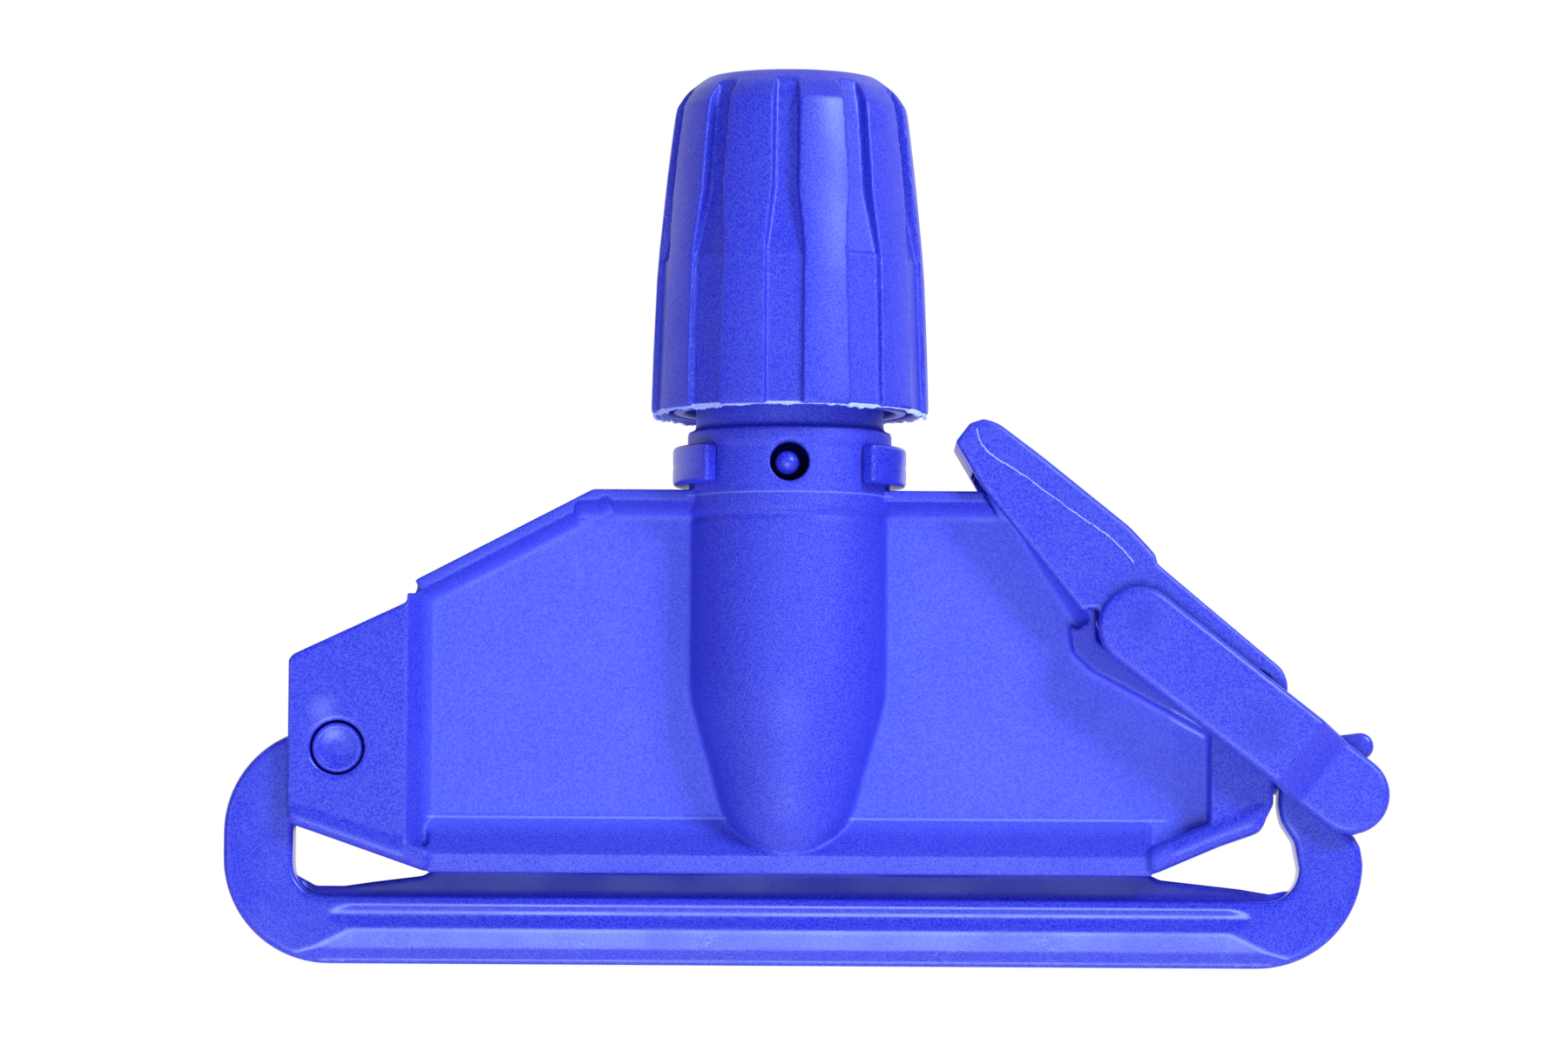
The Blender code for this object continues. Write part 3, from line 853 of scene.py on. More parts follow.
def round_copies(piece: Solid, count: int, phase: float) -> Solid:
    """Copy a piece round the handle's axis, join the copies and remove the first.

    Args:
        piece: The piece, on the +X side.
        count: How many copies.
        phase: Angle of the first copy in degrees.

    Returns:
        The joined copies.
    """
    copies = []
    for k in range(count):
        turn = math.radians(phase + 360.0 * k / count)
        copy = piece.copy()
        copy.data = piece.data.copy()
        bpy.context.scene.collection.objects.link(copy)
        copy.rotation_euler = (0.0, 0.0, turn)
        copies.append(copy)
    bpy.data.objects.remove(piece, do_unlink=True)
    put_down()
    for copy in copies:
        copy.select_set(True)
    bpy.context.view_layer.objects.active = copies[0]
    bpy.ops.object.transform_apply(location=True, rotation=True, scale=True)
    bpy.ops.object.join()
    return copies[0]


def fitted(
    piece: Solid,
    body: Body,
    material: bpy.types.Material,
    node: Optional[str] = None,
) -> Solid:
    """Dress a finished piece and mount it.

    Args:
        piece: The finished piece.
        body: The body that it rides on.
        material: Its material.
        node: The CAD node that it stands for, if any.

    Returns:
        The same piece.
    """
    piece.data.materials.clear()
    piece.data.materials.append(material)
    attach(piece, body.value)
    if node:
        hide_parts(node)
    LOG.info("%s rides on %s with %d faces", piece.name, body.value, len(piece.data.polygons))
    return piece


def ragged_strip(name: str, line: Sequence[Vector], drop: Sequence[Vector], wall: float) -> Solid:
    """A thin torn strip of flash along a line.

    Args:
        name: Name of the new piece.
        line: Root of the strip, in metres.
        drop: For each point, how far its free edge stands off the root.
        wall: Thickness in millimetres.

    Returns:
        The closed strip.
    """
    piece = trace(name, line)
    bpy.ops.mesh.select_all(action="SELECT")
    bpy.ops.mesh.extrude_region_move(TRANSFORM_OT_translate={"value": (0, 0, 0)})
    bpy.ops.object.mode_set(mode="OBJECT")
    for vertex in (v for v in piece.data.vertices if v.select):
        twin = min(range(len(line)), key=lambda i: (vertex.co - line[i]).length_squared)
        vertex.co = vertex.co + drop[twin]
    worked(piece, "SOLIDIFY", thickness=wall * MM, offset=0.0)
    pick_up(piece)
    bpy.ops.object.mode_set(mode="EDIT")
    return close_up(piece)


# ---------------------------------------------------------------- frame


@dataclass
class FrameMoulding:
    """The one moulding that everything else is mounted on."""

    web_half: float = 1.5
    rim_half: float = 5.5
    rim_width: float = 4.2
    cheek_half: float = 7.0
    cheek_right: float = -61.2
    jaw_half: float = 6.5
    lip_half: float = 7.4
    slot_half: float = 4.5
    top: float = 76.6
    foot: float = 14.8
    post_left: float = 67.8
    post_right: float = 78.1
    lug_radius: float = 5.0
    bore_radius: float = 12.6
    counterbore_radius: float = 14.2
    peg_height: float = 80.5
    peg_hole_radius: float = 3.15
    thread_pitch: float = 4.0
    bar_pivot: Flat = (-72.4, 34.6)
    bar_hole_radius: float = 4.4
    lever_pivot: Flat = (74.8, 44.9)
    lever_hole_radius: float = 2.8
    plastic: MouldedPlastic = MouldedPlastic(
        "frame_plastic",
        roughness=0.55,
        polished_from=61.6,
        # painted light through the thin web, lightening it
        painted_web_light_share=0.75,
        scuffs=0.04,
        specks=0.1,
        # pale lines on the web's crease and round the tube's band: painted highlights
        lines=(
            PaintedLine("Z", 23.7, 0.3, 0.16, reach=61.0, depth=2.6),
            PaintedLine("Z", 75.6, 0.25, 0.12, reach=16.5),
        ),
        # pale spot: a painted highlight
        spots=(
            PaintedSpot(-74.8, -7.0, 40.9, 3.2, 0.1, True),
        ),
    )

    def notch(self) -> list[Flat]:
        """Edge of the notch that the latch drops into, from the post up to the top rim."""
        return [(63.5, 44.8), (50.8, 51.6), (49.6, 52.7), (49.5, 54.1), (49.5, 58.3)]

    def outline(self) -> list[Flat]:
        """Outer edge of the web, anticlockwise from the jaw's left end.

        Returns:
            Points as X and height.
        """
        edge = [(-57.8, self.foot), (58.4, self.foot), (69.4, 19.6), (76.2, 22.0), (self.post_right, 26.4)]
        edge += [(self.post_right, 38.0), (self.post_left, 42.2), *self.notch()]
        edge += [(37.0, self.top), (-31.6, self.top), (-59.9, 61.9), (-60.4, 58.6), (-79.6, 49.7)]
        return edge + [(-80.4, 48.7), (-80.4, 23.1), (-79.7, 22.4)]

    def rim(self) -> Solid:
        """The raised rim along the top, down both slopes and round the notch.

        Returns:
            The closed rim.
        """
        outer = [(-60.2, 61.7), (-31.6, self.top), (37.0, self.top)]
        outer += list(reversed(self.notch())) + [(self.post_left + 1.5, 41.6)]
        inner = []
        for i, (x, z) in enumerate(outer):
            before, after = Vector(outer[max(i - 1, 0)]), Vector(outer[min(i + 1, len(outer) - 1)])
            along = (after - before).normalized()
            inner.append((x + along.y * self.rim_width, z - along.x * self.rim_width))
        rim = side_plate("rim", outer + list(reversed(inner)), -self.rim_half, self.rim_half)
        return combined(rim, self.drafts(outer), Combine.CUT)

    def drafts(self, outer: Sequence[Flat]) -> list[Solid]:
        """Long wedges that slope the rim's inner half down to the web.

        Args:
            outer: The rim's outer line.

        Returns:
            One cutter for each straight stretch and side.
        """
        wedges = []
        for start, end in zip(outer[:3], outer[1:4]):
            along = (Vector(end) - Vector(start)).normalized()
            inward = Vector((along.y, -along.x))
            first, last = Vector(start) - along * 3.0, Vector(end) + along * 1.5
            push = Vector((last.x - first.x, 0.0, last.y - first.y)) * MM
            for side in (-1, 1):
                corners = [
                    (2.0, self.rim_half + 0.4), (5.0, self.rim_half + 0.4), (5.0, 1.2), (3.9, 1.7),
                    (2.0, self.rim_half - 0.5),
                ]
                ring = [at(first.x + inward.x * d, side * y, first.y + inward.y * d) for d, y in corners]
                wedges.append(pushed("draft", ring, push))
        return wedges

    def cheeks(self) -> list[Solid]:
        """Thick left end that holds the bar's pivot, with its slope down to the web."""
        half, right = self.cheek_half, self.cheek_right
        edge = [(-79.7, 22.5), (right, 16.2), (right, 58.2), (-79.6, 49.6), (-80.3, 48.7), (-80.3, 23.1)]
        section = [(right - 0.2, 0.1 - half), (right, 0.1 - half), (right + 3.9, 0.1 - self.web_half)]
        section += [(x, -y) for x, y in reversed(section)]
        return [side_plate("cheek", edge, -half, half), plan_plate("slope", section, 16.4, 59.6)]

    def post(self) -> Solid:
        """Thick right end with the lug that carries the lever."""
        edge = [
            (self.post_left, 19.6), (76.0, 22.4), (self.post_right - 0.1, 26.4), (self.post_right - 0.1, 38.0)
        ]
        edge += arc(self.lever_pivot, self.lug_radius, -30, 185, 28) + [(self.post_left + 0.1, 40.5)]
        return side_plate("post", edge, -self.cheek_half, self.cheek_half)

    def jaw(self) -> list[Solid]:
        """Lower flange with a flare down the web's foot, and fat lips along its sloping ends.

        Returns:
            The closed parts of the jaw.
        """
        half = self.jaw_half
        section = [
            (0.7 - half, self.foot - 0.1), (half - 0.7, self.foot - 0.1), (half, 17.7), (1.4, 23.9),
            (-1.4, 23.9), (-half, 17.7),
        ]
        flange = pushed("jaw", [at(-57.8, y, z) for y, z in section], Vector((116.2 * MM, 0, 0)))
        left = [(-57.9, 14.72), (-57.0, 18.3), (-80.35, 25.9), (-80.35, 22.5)]
        right = [(58.0, 14.66), (69.4, 19.5), (76.2, 21.9), (78.15, 27.9), (57.4, 18.9)]
        lips = [side_plate("lip", edge, -self.lip_half, self.lip_half) for edge in (left, right)]
        return [flange, eased(lips[0], 1.2, 4), eased(lips[1], 1.7, 5)]

    def socket(self) -> Solid:
        """Handle tube: bullet foot, barrel, ring bands and neck."""
        bullet = [(0, 15.6), (3.4, 15.9), (5.8, 17.4), (8.3, 20.5), (9.9, 23.0), (11.2, 26.5), (12.6, 31.8)]
        bullet += [(14.2, 37.2), (15.6, 42.6), (15.9, 47.0)]
        barrel = [(15.9, 71.4), (15.55, 71.9), (15.55, 72.3), (16.2, 72.9), (16.2, 82.7), (15.95, 82.9)]
        barrel += [(15.95, 83.2), (16.5, 83.5), (16.5, 86.0), (15.2, 86.4), (15.2, 103.0), (0, 103.0)]
        return turned("socket", flowing(bullet, 4) + barrel, 120)

    def thread(self) -> Solid:
        """One rounded ridge climbing the neck.

        Returns:
            The closed ridge.
        """
        rings = []
        for step in range(3 * 40 + 1):
            turn = FULL_TURN * step / 40
            height = 90.4 + self.thread_pitch * step / 40
            section = [(15.0, -1.3), (16.1, -0.8), (16.5, 0.0), (16.1, 0.8), (15.0, 1.3)]
            grow = min(step, 120 - step, 8) / 8
            ring = [(15.0 + (r - 15.0) * max(grow, 0.05), height + dz * 0.8) for r, dz in section]
            rings.append([at(r * math.cos(turn), r * math.sin(turn), min(z, 102.9)) for r, z in ring])
        return lofted("thread", rings)

    def cutters(self) -> list[Solid]:
        """Bore, collet seat, peg holes, pivot holes, the bar's slot and the channel for its fin.

        Returns:
            The closed cutters.
        """
        bore = turned(
            "bore", [(0, 36.0), (6.0, 36.0), (self.bore_radius, 40.0), (self.bore_radius, 150.0), (0, 150.0)],
            96,
        )
        radius = self.counterbore_radius
        seat = turned("seat", [(0, 90.5), (radius, 90.5), (radius, 150.0), (0, 150.0)], 96)
        peg = cross_rod("peg_hole", (0.0, self.peg_height), self.peg_hole_radius, -25.0, 25.0)
        half = self.slot_half
        slot = side_plate("slot", [(-90, 10), (-61.5, 10), (-61.5, 70), (-90, 70)], -half, half)
        bar_hole = cross_rod("bar_hole", self.bar_pivot, self.bar_hole_radius, -12.0, 12.0)
        lever_hole = cross_rod("lever_hole", self.lever_pivot, self.lever_hole_radius, -12.0, 12.0)
        channel = side_plate("channel", [(-59.0, 14.0), (59.6, 14.0), (59.6, 16.2), (-59.0, 16.2)], -2.6, 2.6)
        return [bore, seat, peg, slot, bar_hole, lever_hole, channel]

    def build(self) -> Solid:
        """Shape the moulding.

        Returns:
            The finished piece.
        """
        web = side_plate("frame_moulding", self.outline(), -self.web_half, self.web_half)
        parts = [web, self.rim(), *self.cheeks(), self.post(), *self.jaw(), self.socket(), self.thread()]
        return moulded(gathered(parts, self.cutters()), 0.36, 3, 190000)

    def dress(self, piece: Solid, book: EffectBook) -> None:
        """Give the moulding its plastic and mount it."""
        fitted(piece, Body.FRAME, self.plastic.make(book), "frame_body")


# ---------------------------------------------------------------- clamp bar


@dataclass
class ClampBar:
    """Swinging bar with its eye, bends, hook and wavy fin."""

    half: float = 4.2
    bend_radius: float = 17.0
    bend_left: float = -73.7
    bend_right: float = 75.6
    inner_bend: float = 5.3
    eye_radius: float = 6.3
    eye_hole: float = 4.5
    fin_half: float = 1.6
    pivot: Flat = (-72.4, 34.6)
    cross_rod: Flat = (90.3, 28.0)
    plastic: MouldedPlastic = MouldedPlastic(
        "bar_plastic",
        roughness=0.27,
        scuffs=0.6,
        scuff_band=(0.6, 5.4),
        specks=0.6,
        mottle=0.3,
        grain_depth=0.012,
        # dark band along the fin: painted shade under the jaw's overhang
        lines=(PaintedLine("Z", 12.9, 2.6, 0.75, reach=77.5, dark=True),),
    )

    def outline(self) -> list[Flat]:
        """Edge of the bar, anticlockwise from its lower left bend.

        Returns:
            Points as X and height.
        """
        x, z = self.cross_rod
        edge = arc((self.bend_left, self.bend_radius), self.bend_radius, 180, 270, 24)
        edge += arc((self.bend_right, self.bend_radius), self.bend_radius, 270, 360, 24)
        edge += [(x + 1.9, z - 8.4), (x + 0.9, z - 6.6), (x - 1.7, z - 4.8), (x - 4.1, z - 2.8)]
        edge += arc((x - 1.8, z + 3.4), 2.3, 180, 90, 8) + arc((x + 1.9, z + 7.9), 2.2, -90, 90, 10)
        edge += arc((x - 0.5, z - 1.1), 10.8, 95, 200, 20) + [(81.5, 20.4)]
        edge += arc((77.0, 16.1), self.inner_bend, 0, -90, 12) + arc(
            (-74.2, 16.1), self.inner_bend, -90, -180, 12
        )
        edge += [(-79.5, 22.5), (-78.4, 26.6)]
        return edge + arc(self.pivot, self.eye_radius, 250, 480, 30) + arc(
            (self.bend_left, 21.0), 17.0, 112, 180, 16
        )

    def fin(self) -> Solid:
        """Low wavy fin along the bar's top that bites the mop's band.

        Returns:
            The closed fin.
        """
        crest = [(-79.0, 14.2), (-75.9, 12.5), (-71.3, 12.5), (-66.5, 13.2), (-58.6, 14.2), (-56.5, 15.5)]
        crest += [
            (-40.0, 15.6), (-34.0, 15.2), (-14.0, 15.2), (-8.0, 15.6), (12.0, 15.6), (16.0, 15.2),
            (30.0, 15.2),
        ]
        crest += [(34.0, 15.6), (57.4, 15.5), (60.0, 14.2), (72.9, 12.8), (77.7, 12.0), (80.4, 12.6)]
        return side_plate("fin", [(82.0, 10.0), (-80.0, 10.0)] + crest, -self.fin_half, self.fin_half)

    def valleys(self) -> list[Solid]:
        """Long shallow hollows along both faces, and the tilted faces of the broad band below them.

        Returns:
            The closed cutters.
        """
        cutters = []
        for side in (-1, 1):
            round_cut = [
                (2.6 * math.cos(a) + self.half + 2.1, 7.8 + 2.6 * math.sin(a)) for a in self._turns()
            ]
            edge = self.half
            facet = [
                (edge, 5.5), (edge - 0.85, 2.3), (edge - 1.6, 0.7), (edge - 1.6, -2.0), (edge + 1, -2.0),
                (edge + 1, 5.5),
            ]
            for name, section in (("valley", round_cut), ("facet", facet)):
                stations = [(-84.0, 1.8), (-70.0, 0.0), (71.0, 0.0), (85.0, 1.8)]
                rings = [[at(x, side * (y + out), z) for y, z in section] for x, out in stations]
                cutters.append(lofted(name, rings))
        return cutters

    @staticmethod
    def _turns() -> list[float]:
        """Angles of a round section."""
        return [FULL_TURN * i / 32 for i in range(32)]

    def build(self) -> Solid:
        """Shape the bar.

        Returns:
            The finished piece.
        """
        bar = eased(side_plate("clamp_bar_rod", self.outline(), -self.half, self.half), 1.9, 5)
        combined(bar, self.valleys(), Combine.CUT)
        combined(bar, [self.fin()], Combine.ADD)
        combined(bar, [cross_rod("eye", self.pivot, self.eye_hole, -8.0, 8.0)], Combine.CUT)
        return moulded(bar, 0.34, 3, 110000)

    def dress(self, piece: Solid, book: EffectBook) -> None:
        """Give the bar its plastic and mount it."""
        fitted(piece, Body.BAR, self.plastic.make(book), "clamp_bar")


# ---------------------------------------------------------------- latch


@dataclass
class Latch:
    """Channel lever and the stirrup that it draws over the bar's hook."""

    inside: float = 7.3
    outside: float = 9.5
    end_radius: float = 5.3
    back_round: float = 4.4
    arm_inside: float = 9.8
    arm_wall: float = 3.0
    arm_half_width: float = 6.6
    foot_shift: float = 5.2
    rod_radius: float = 3.6
    lever_pin: float = 2.8
    link_pin: float = 3.3
    lever_pivot: Flat = (74.8, 44.9)
    link_pivot: Flat = (56.1, 54.5)
    cross_rod: Flat = (90.3, 28.0)
    lever_plastic: MouldedPlastic = MouldedPlastic("lever_plastic", roughness=0.44, scuffs=0.06)
    link_plastic: MouldedPlastic = MouldedPlastic(
        "stirrup_plastic",
        roughness=0.42,
        scuffs=0.05,
        # darker spots on the arm: painted shade where sink marks dent it
        spots=(PaintedSpot(56.6, -12.8, 55.6, 4.5, 0.45), PaintedSpot(76.2, -12.8, 38.0, 5.5, 0.35)),
    )
    flash_plastic: MouldedPlastic = MouldedPlastic(
        "lever_flash_plastic", base=(0.2, 0.26, 0.95, 1.0), grit=0.5
    )

    def lever_outline(self) -> list[Flat]:
        """Side of the lever, anticlockwise from the lower corner of its tip."""
        edge = [(26.7, 84.3), (31.0, 77.0), (47.0, 57.1), (49.7, 57.6)]
        edge += arc(self.link_pivot, self.end_radius, 195, 240, 6) + arc(
            self.lever_pivot, self.end_radius, 240, 400, 20
        )
        return edge + [(59.1, 66.1), (54.8, 70.7), (40.7, 82.0), (33.6, 87.3), (31.2, 88.0), (29.0, 87.3)]

    def lever_hollow(self) -> Solid:
        """What is cut out between the cheeks."""
        edge = [
            (33.0, 70.0), (44.0, 50.0), (60.0, 40.0), (90.0, 34.0), (83.0, 55.0), (75.4, 54.0), (72.0, 51.0)
        ]
        edge += [(57.5, 64.6), (53.3, 69.1), (39.3, 80.3), (33.0, 84.9), (30.4, 84.3), (29.0, 81.9)]
        return side_plate("hollow", edge, -self.inside, self.inside)

    def build_lever(self) -> Solid:
        """Shape the lever: flat cheeks and a broad rounded back.

        Returns:
            The finished piece.
        """
        lever = side_plate("latch_lever", self.lever_outline(), -self.outside, self.outside)
        back = [Vector(p) for p in [(77.6, 49.6), (59.1, 66.1), (54.8, 70.7), (40.7, 82.0), (33.6, 87.3)]]
        self._round_back(lever, back)
        pins = [cross_rod("link_hole", self.link_pivot, self.link_pin, -15.0, 15.0)]
        pins.append(cross_rod("lever_hole", self.lever_pivot, self.lever_pin, -15.0, 15.0))
        combined(lever, pins + [self.lever_hollow()], Combine.CUT)
        return moulded(lever, 0.34, 5, 70000)

    def _round_back(self, lever: Solid, back: Sequence[Vector]) -> None:
        """Bevel the long edges between the cheeks and the back.

        Args:
            lever: The lever so far.
            back: Corners of the back, in millimetres.
        """
        pick_vertices(
            lever,
            lambda co: any((Vector((co.x, co.z + MOUTH_HEIGHT * MM)) / MM - p).length < 0.6 for p in back),
        )
        bpy.ops.object.mode_set(mode="OBJECT")
        picked = {v.index for v in lever.data.vertices if v.select}
        for edge in lever.data.edges:
            ends = [lever.data.vertices[i].co for i in edge.vertices]
            edge.select = set(edge.vertices) <= picked and abs(ends[0].y - ends[1].y) < MM
        for face in lever.data.polygons:
            face.select = False
        bpy.ops.object.mode_set(mode="EDIT")
        bpy.ops.mesh.select_mode(type="EDGE")
        bpy.ops.mesh.bevel(offset=self.back_round * MM, segments=7, affect="EDGES", clamp_overlap=True)
        close_up(lever)

    def build_stirrup(self) -> Solid:
        """Shape the stirrup: two arms that jog in to feet on the cross rod.

        Returns:
            The finished piece.
        """
        arms = [self._arm(side) for side in (-1, 1)]
        rod = cross_rod("rod", self.cross_rod, self.rod_radius, -6.2, 6.2)
        combined(arms[0], [rod, arms[1]], Combine.ADD)
        depth = 11.4
        combined(arms[0], [cross_rod("blind", self.link_pivot, self.link_pin, -depth, depth)], Combine.CUT)
        return moulded(arms[0], 0.34, 5, 70000)

    def _arm(self, side: int) -> Solid:
        """One arm: a long rounded plate, moved in beyond its jog.

        Args:
            side: -1 for the front arm, 1 for the back arm.

        Returns:
            The closed arm.
        """
        start, end = Vector(self.link_pivot), Vector(self.cross_rod)
        slope = math.degrees(math.atan2(end.y - start.y, end.x - start.x))
        edge = arc(tuple(start), self.arm_half_width, slope + 90, slope + 270, 28)
        edge += arc(tuple(end), self.arm_half_width - 0.2, slope - 90, slope + 90, 28)
        near, far = side * self.arm_inside, side * (self.arm_inside + self.arm_wall)
        arm = side_plate("latch_stirrup", edge, min(near, far), max(near, far))
        along = (end - start).normalized()
        reach = (end - start).length
        for stop in (reach - 10.6, reach - 5.6):
            point = start + along * stop
            pick_vertices(arm, lambda co: True)
            bpy.ops.mesh.bisect(plane_co=at(point.x, 0, point.y), plane_no=(along.x, 0, along.y))
        bpy.ops.object.mode_set(mode="OBJECT")

        def beyond(co: Vector) -> bool:
            """Whether a vertex lies past the jog."""
            place = Vector((co.x, co.z + MOUTH_HEIGHT * MM)) / MM - start
            return place.dot(along) > reach - 5.7

        pick_vertices(arm, beyond)
        bpy.ops.transform.translate(value=(0, -side * self.foot_shift * MM, 0))
        close_up(arm)
        return eased(arm, 1.3, 4, 50.0)

    def build_flash(self) -> Solid:
        """Torn parting line between the lever's cheek and its back.

        Returns:
            The finished strip.
        """
        rng = random.Random(11)
        knots = [(30.0, 86.4), (31.6, 82.9), (38.0, 78.6), (46.0, 72.8), (51.5, 69.0), (55.4, 64.9)]
        curve = flowing(knots, 9)
        line = [
            at(x + rng.uniform(-0.05, 0.05), -self.outside + 0.02, z + rng.uniform(-0.06, 0.06))
            for x, z in curve
        ]
        drop = [Vector((0.02, -rng.uniform(0.02, 0.16), rng.uniform(-0.14, 0.05))) * MM for _ in line]
        return ragged_strip("lever_flash", line, drop, 0.2)

    def dress(self, lever: Solid, stirrup: Solid, flash: Solid, book: EffectBook) -> None:
        """Give the latch its plastics and mount it."""
        fitted(lever, Body.LEVER, self.lever_plastic.make(book), "clamp_lever")
        fitted(stirrup, Body.LINK, self.link_plastic.make(book), "draw_link")
        fitted(flash, Body.LEVER, self.flash_plastic.make(book))


# ---------------------------------------------------------------- pins and clip


@dataclass
class Pins:
    """The pins that can be seen: the bar's headed pin and the lever's plain one."""

    bar_radius: float = 4.1
    lever_radius: float = 2.5
    bar_pivot: Flat = (-72.4, 34.6)
    lever_pivot: Flat = (74.8, 44.9)
    plastic: MouldedPlastic = MouldedPlastic("pin_plastic", roughness=0.36, specks=0.4)

    def build_bar_pin(self) -> Solid:
        """Pin with a dished end at the front and a domed head at the back.

        Returns:
            The finished pin.
        """
        r = self.bar_radius
        stations = [(0.8, -6.1), (2.7, -6.15), (3.1, -6.35), (3.5, -6.45), (r - 0.3, -6.4), (r - 0.05, -6.1)]
        stations += [
            (r, -5.7), (r, 7.35), (r + 1.75, 7.35), (r + 1.75, 8.3), (r + 1.3, 8.75), (r - 0.6, 8.88)
        ]
        return rounded_off(cross_turned("bar_pin", self.bar_pivot, stations + [(1.0, 8.88)]))

    def build_lever_pin(self) -> Solid:
        """Plain pin with rounded ends."""
        r = self.lever_radius
        side = [(0.6, 9.4), (r - 0.5, 9.35), (r - 0.12, 9.15), (r, 8.8)]
        stations = [(radius, -y) for radius, y in side] + list(reversed(side))
        return rounded_off(cross_turned("lever_pin", self.lever_pivot, stations))

    def dress(self, bar_pin: Solid, lever_pin: Solid, hidden: Solid, book: EffectBook) -> None:
        """Give the pins their plastic and mount them; the hidden pin keeps its CAD shape."""
        plastic = self.plastic.make(book)
        fitted(bar_pin, Body.FRAME, plastic, "bar_pivot_pin")
        fitted(lever_pin, Body.FRAME, plastic, "lever_pivot_pin")
        hidden.material_slots[0].material = plastic


@dataclass
class LockingClip:
    """C-shaped clip, open at the front, whose peg crosses the socket."""

    inside_radius: float = 16.3
    outside_radius: float = 18.9
    half_height: float = 3.1
    height: float = 80.5
    open_half_angle: float = 45.0
    peg_radius: float = 2.5
    nose_radius: float = 1.95
    plastic: MouldedPlastic = MouldedPlastic("clip_plastic", roughness=0.33)

    def band(self, low: float, high: float) -> Solid:
        """One half of the clip's band, with rounded edges."""
        start, end = self.open_half_angle - 90, 270 - self.open_half_angle
        edge = arc((0, 0), self.outside_radius, start, end, 72) + arc(
            (0, 0), self.inside_radius, end, start, 72
        )
        return eased(plan_plate("locking_clip_ring", edge, low, high), 0.55, 3, 50.0)

    def peg(self) -> Solid:
        """Round-nosed peg across the socket.

        Returns:
            The closed peg.
        """
        r, centre = self.nose_radius, -13.4
        turns = [math.radians(a) for a in (8, 25, 42, 58, 74)]
        nose = [(r * math.sin(a), centre - r * math.cos(a)) for a in turns]
        shank = [
            (r, centre), (r - 0.1, centre + 3.0), (self.peg_radius - 0.3, centre + 5.0),
            (self.peg_radius - 0.3, 17.5),
        ]
        return cross_turned("peg", (-0.35, self.height - 0.1), nose + shank)

    def build(self) -> Solid:
        """Shape the clip.

        Returns:
            The finished piece.
        """
        low, middle, high = self.height - self.half_height, self.height, self.height + self.half_height
        clip = self.band(low, middle + 0.12)
        pad = plan_plate("pad", [(-5, 17.5), (5, 17.5), (4.2, 21.2), (-4.2, 21.2)], low + 0.4, high - 0.4)
        combined(clip, [self.band(middle - 0.12, high), eased(pad, 0.8, 3, 50.0), self.peg()], Combine.ADD)
        return moulded(clip, 0.24, 3, 60000)

    def dress(self, piece: Solid, book: EffectBook) -> None:
        """Give the clip its plastic and mount it."""
        fitted(piece, Body.CLIP, self.plastic.make(book), "locking_clip")


# ---------------------------------------------------------------- grip


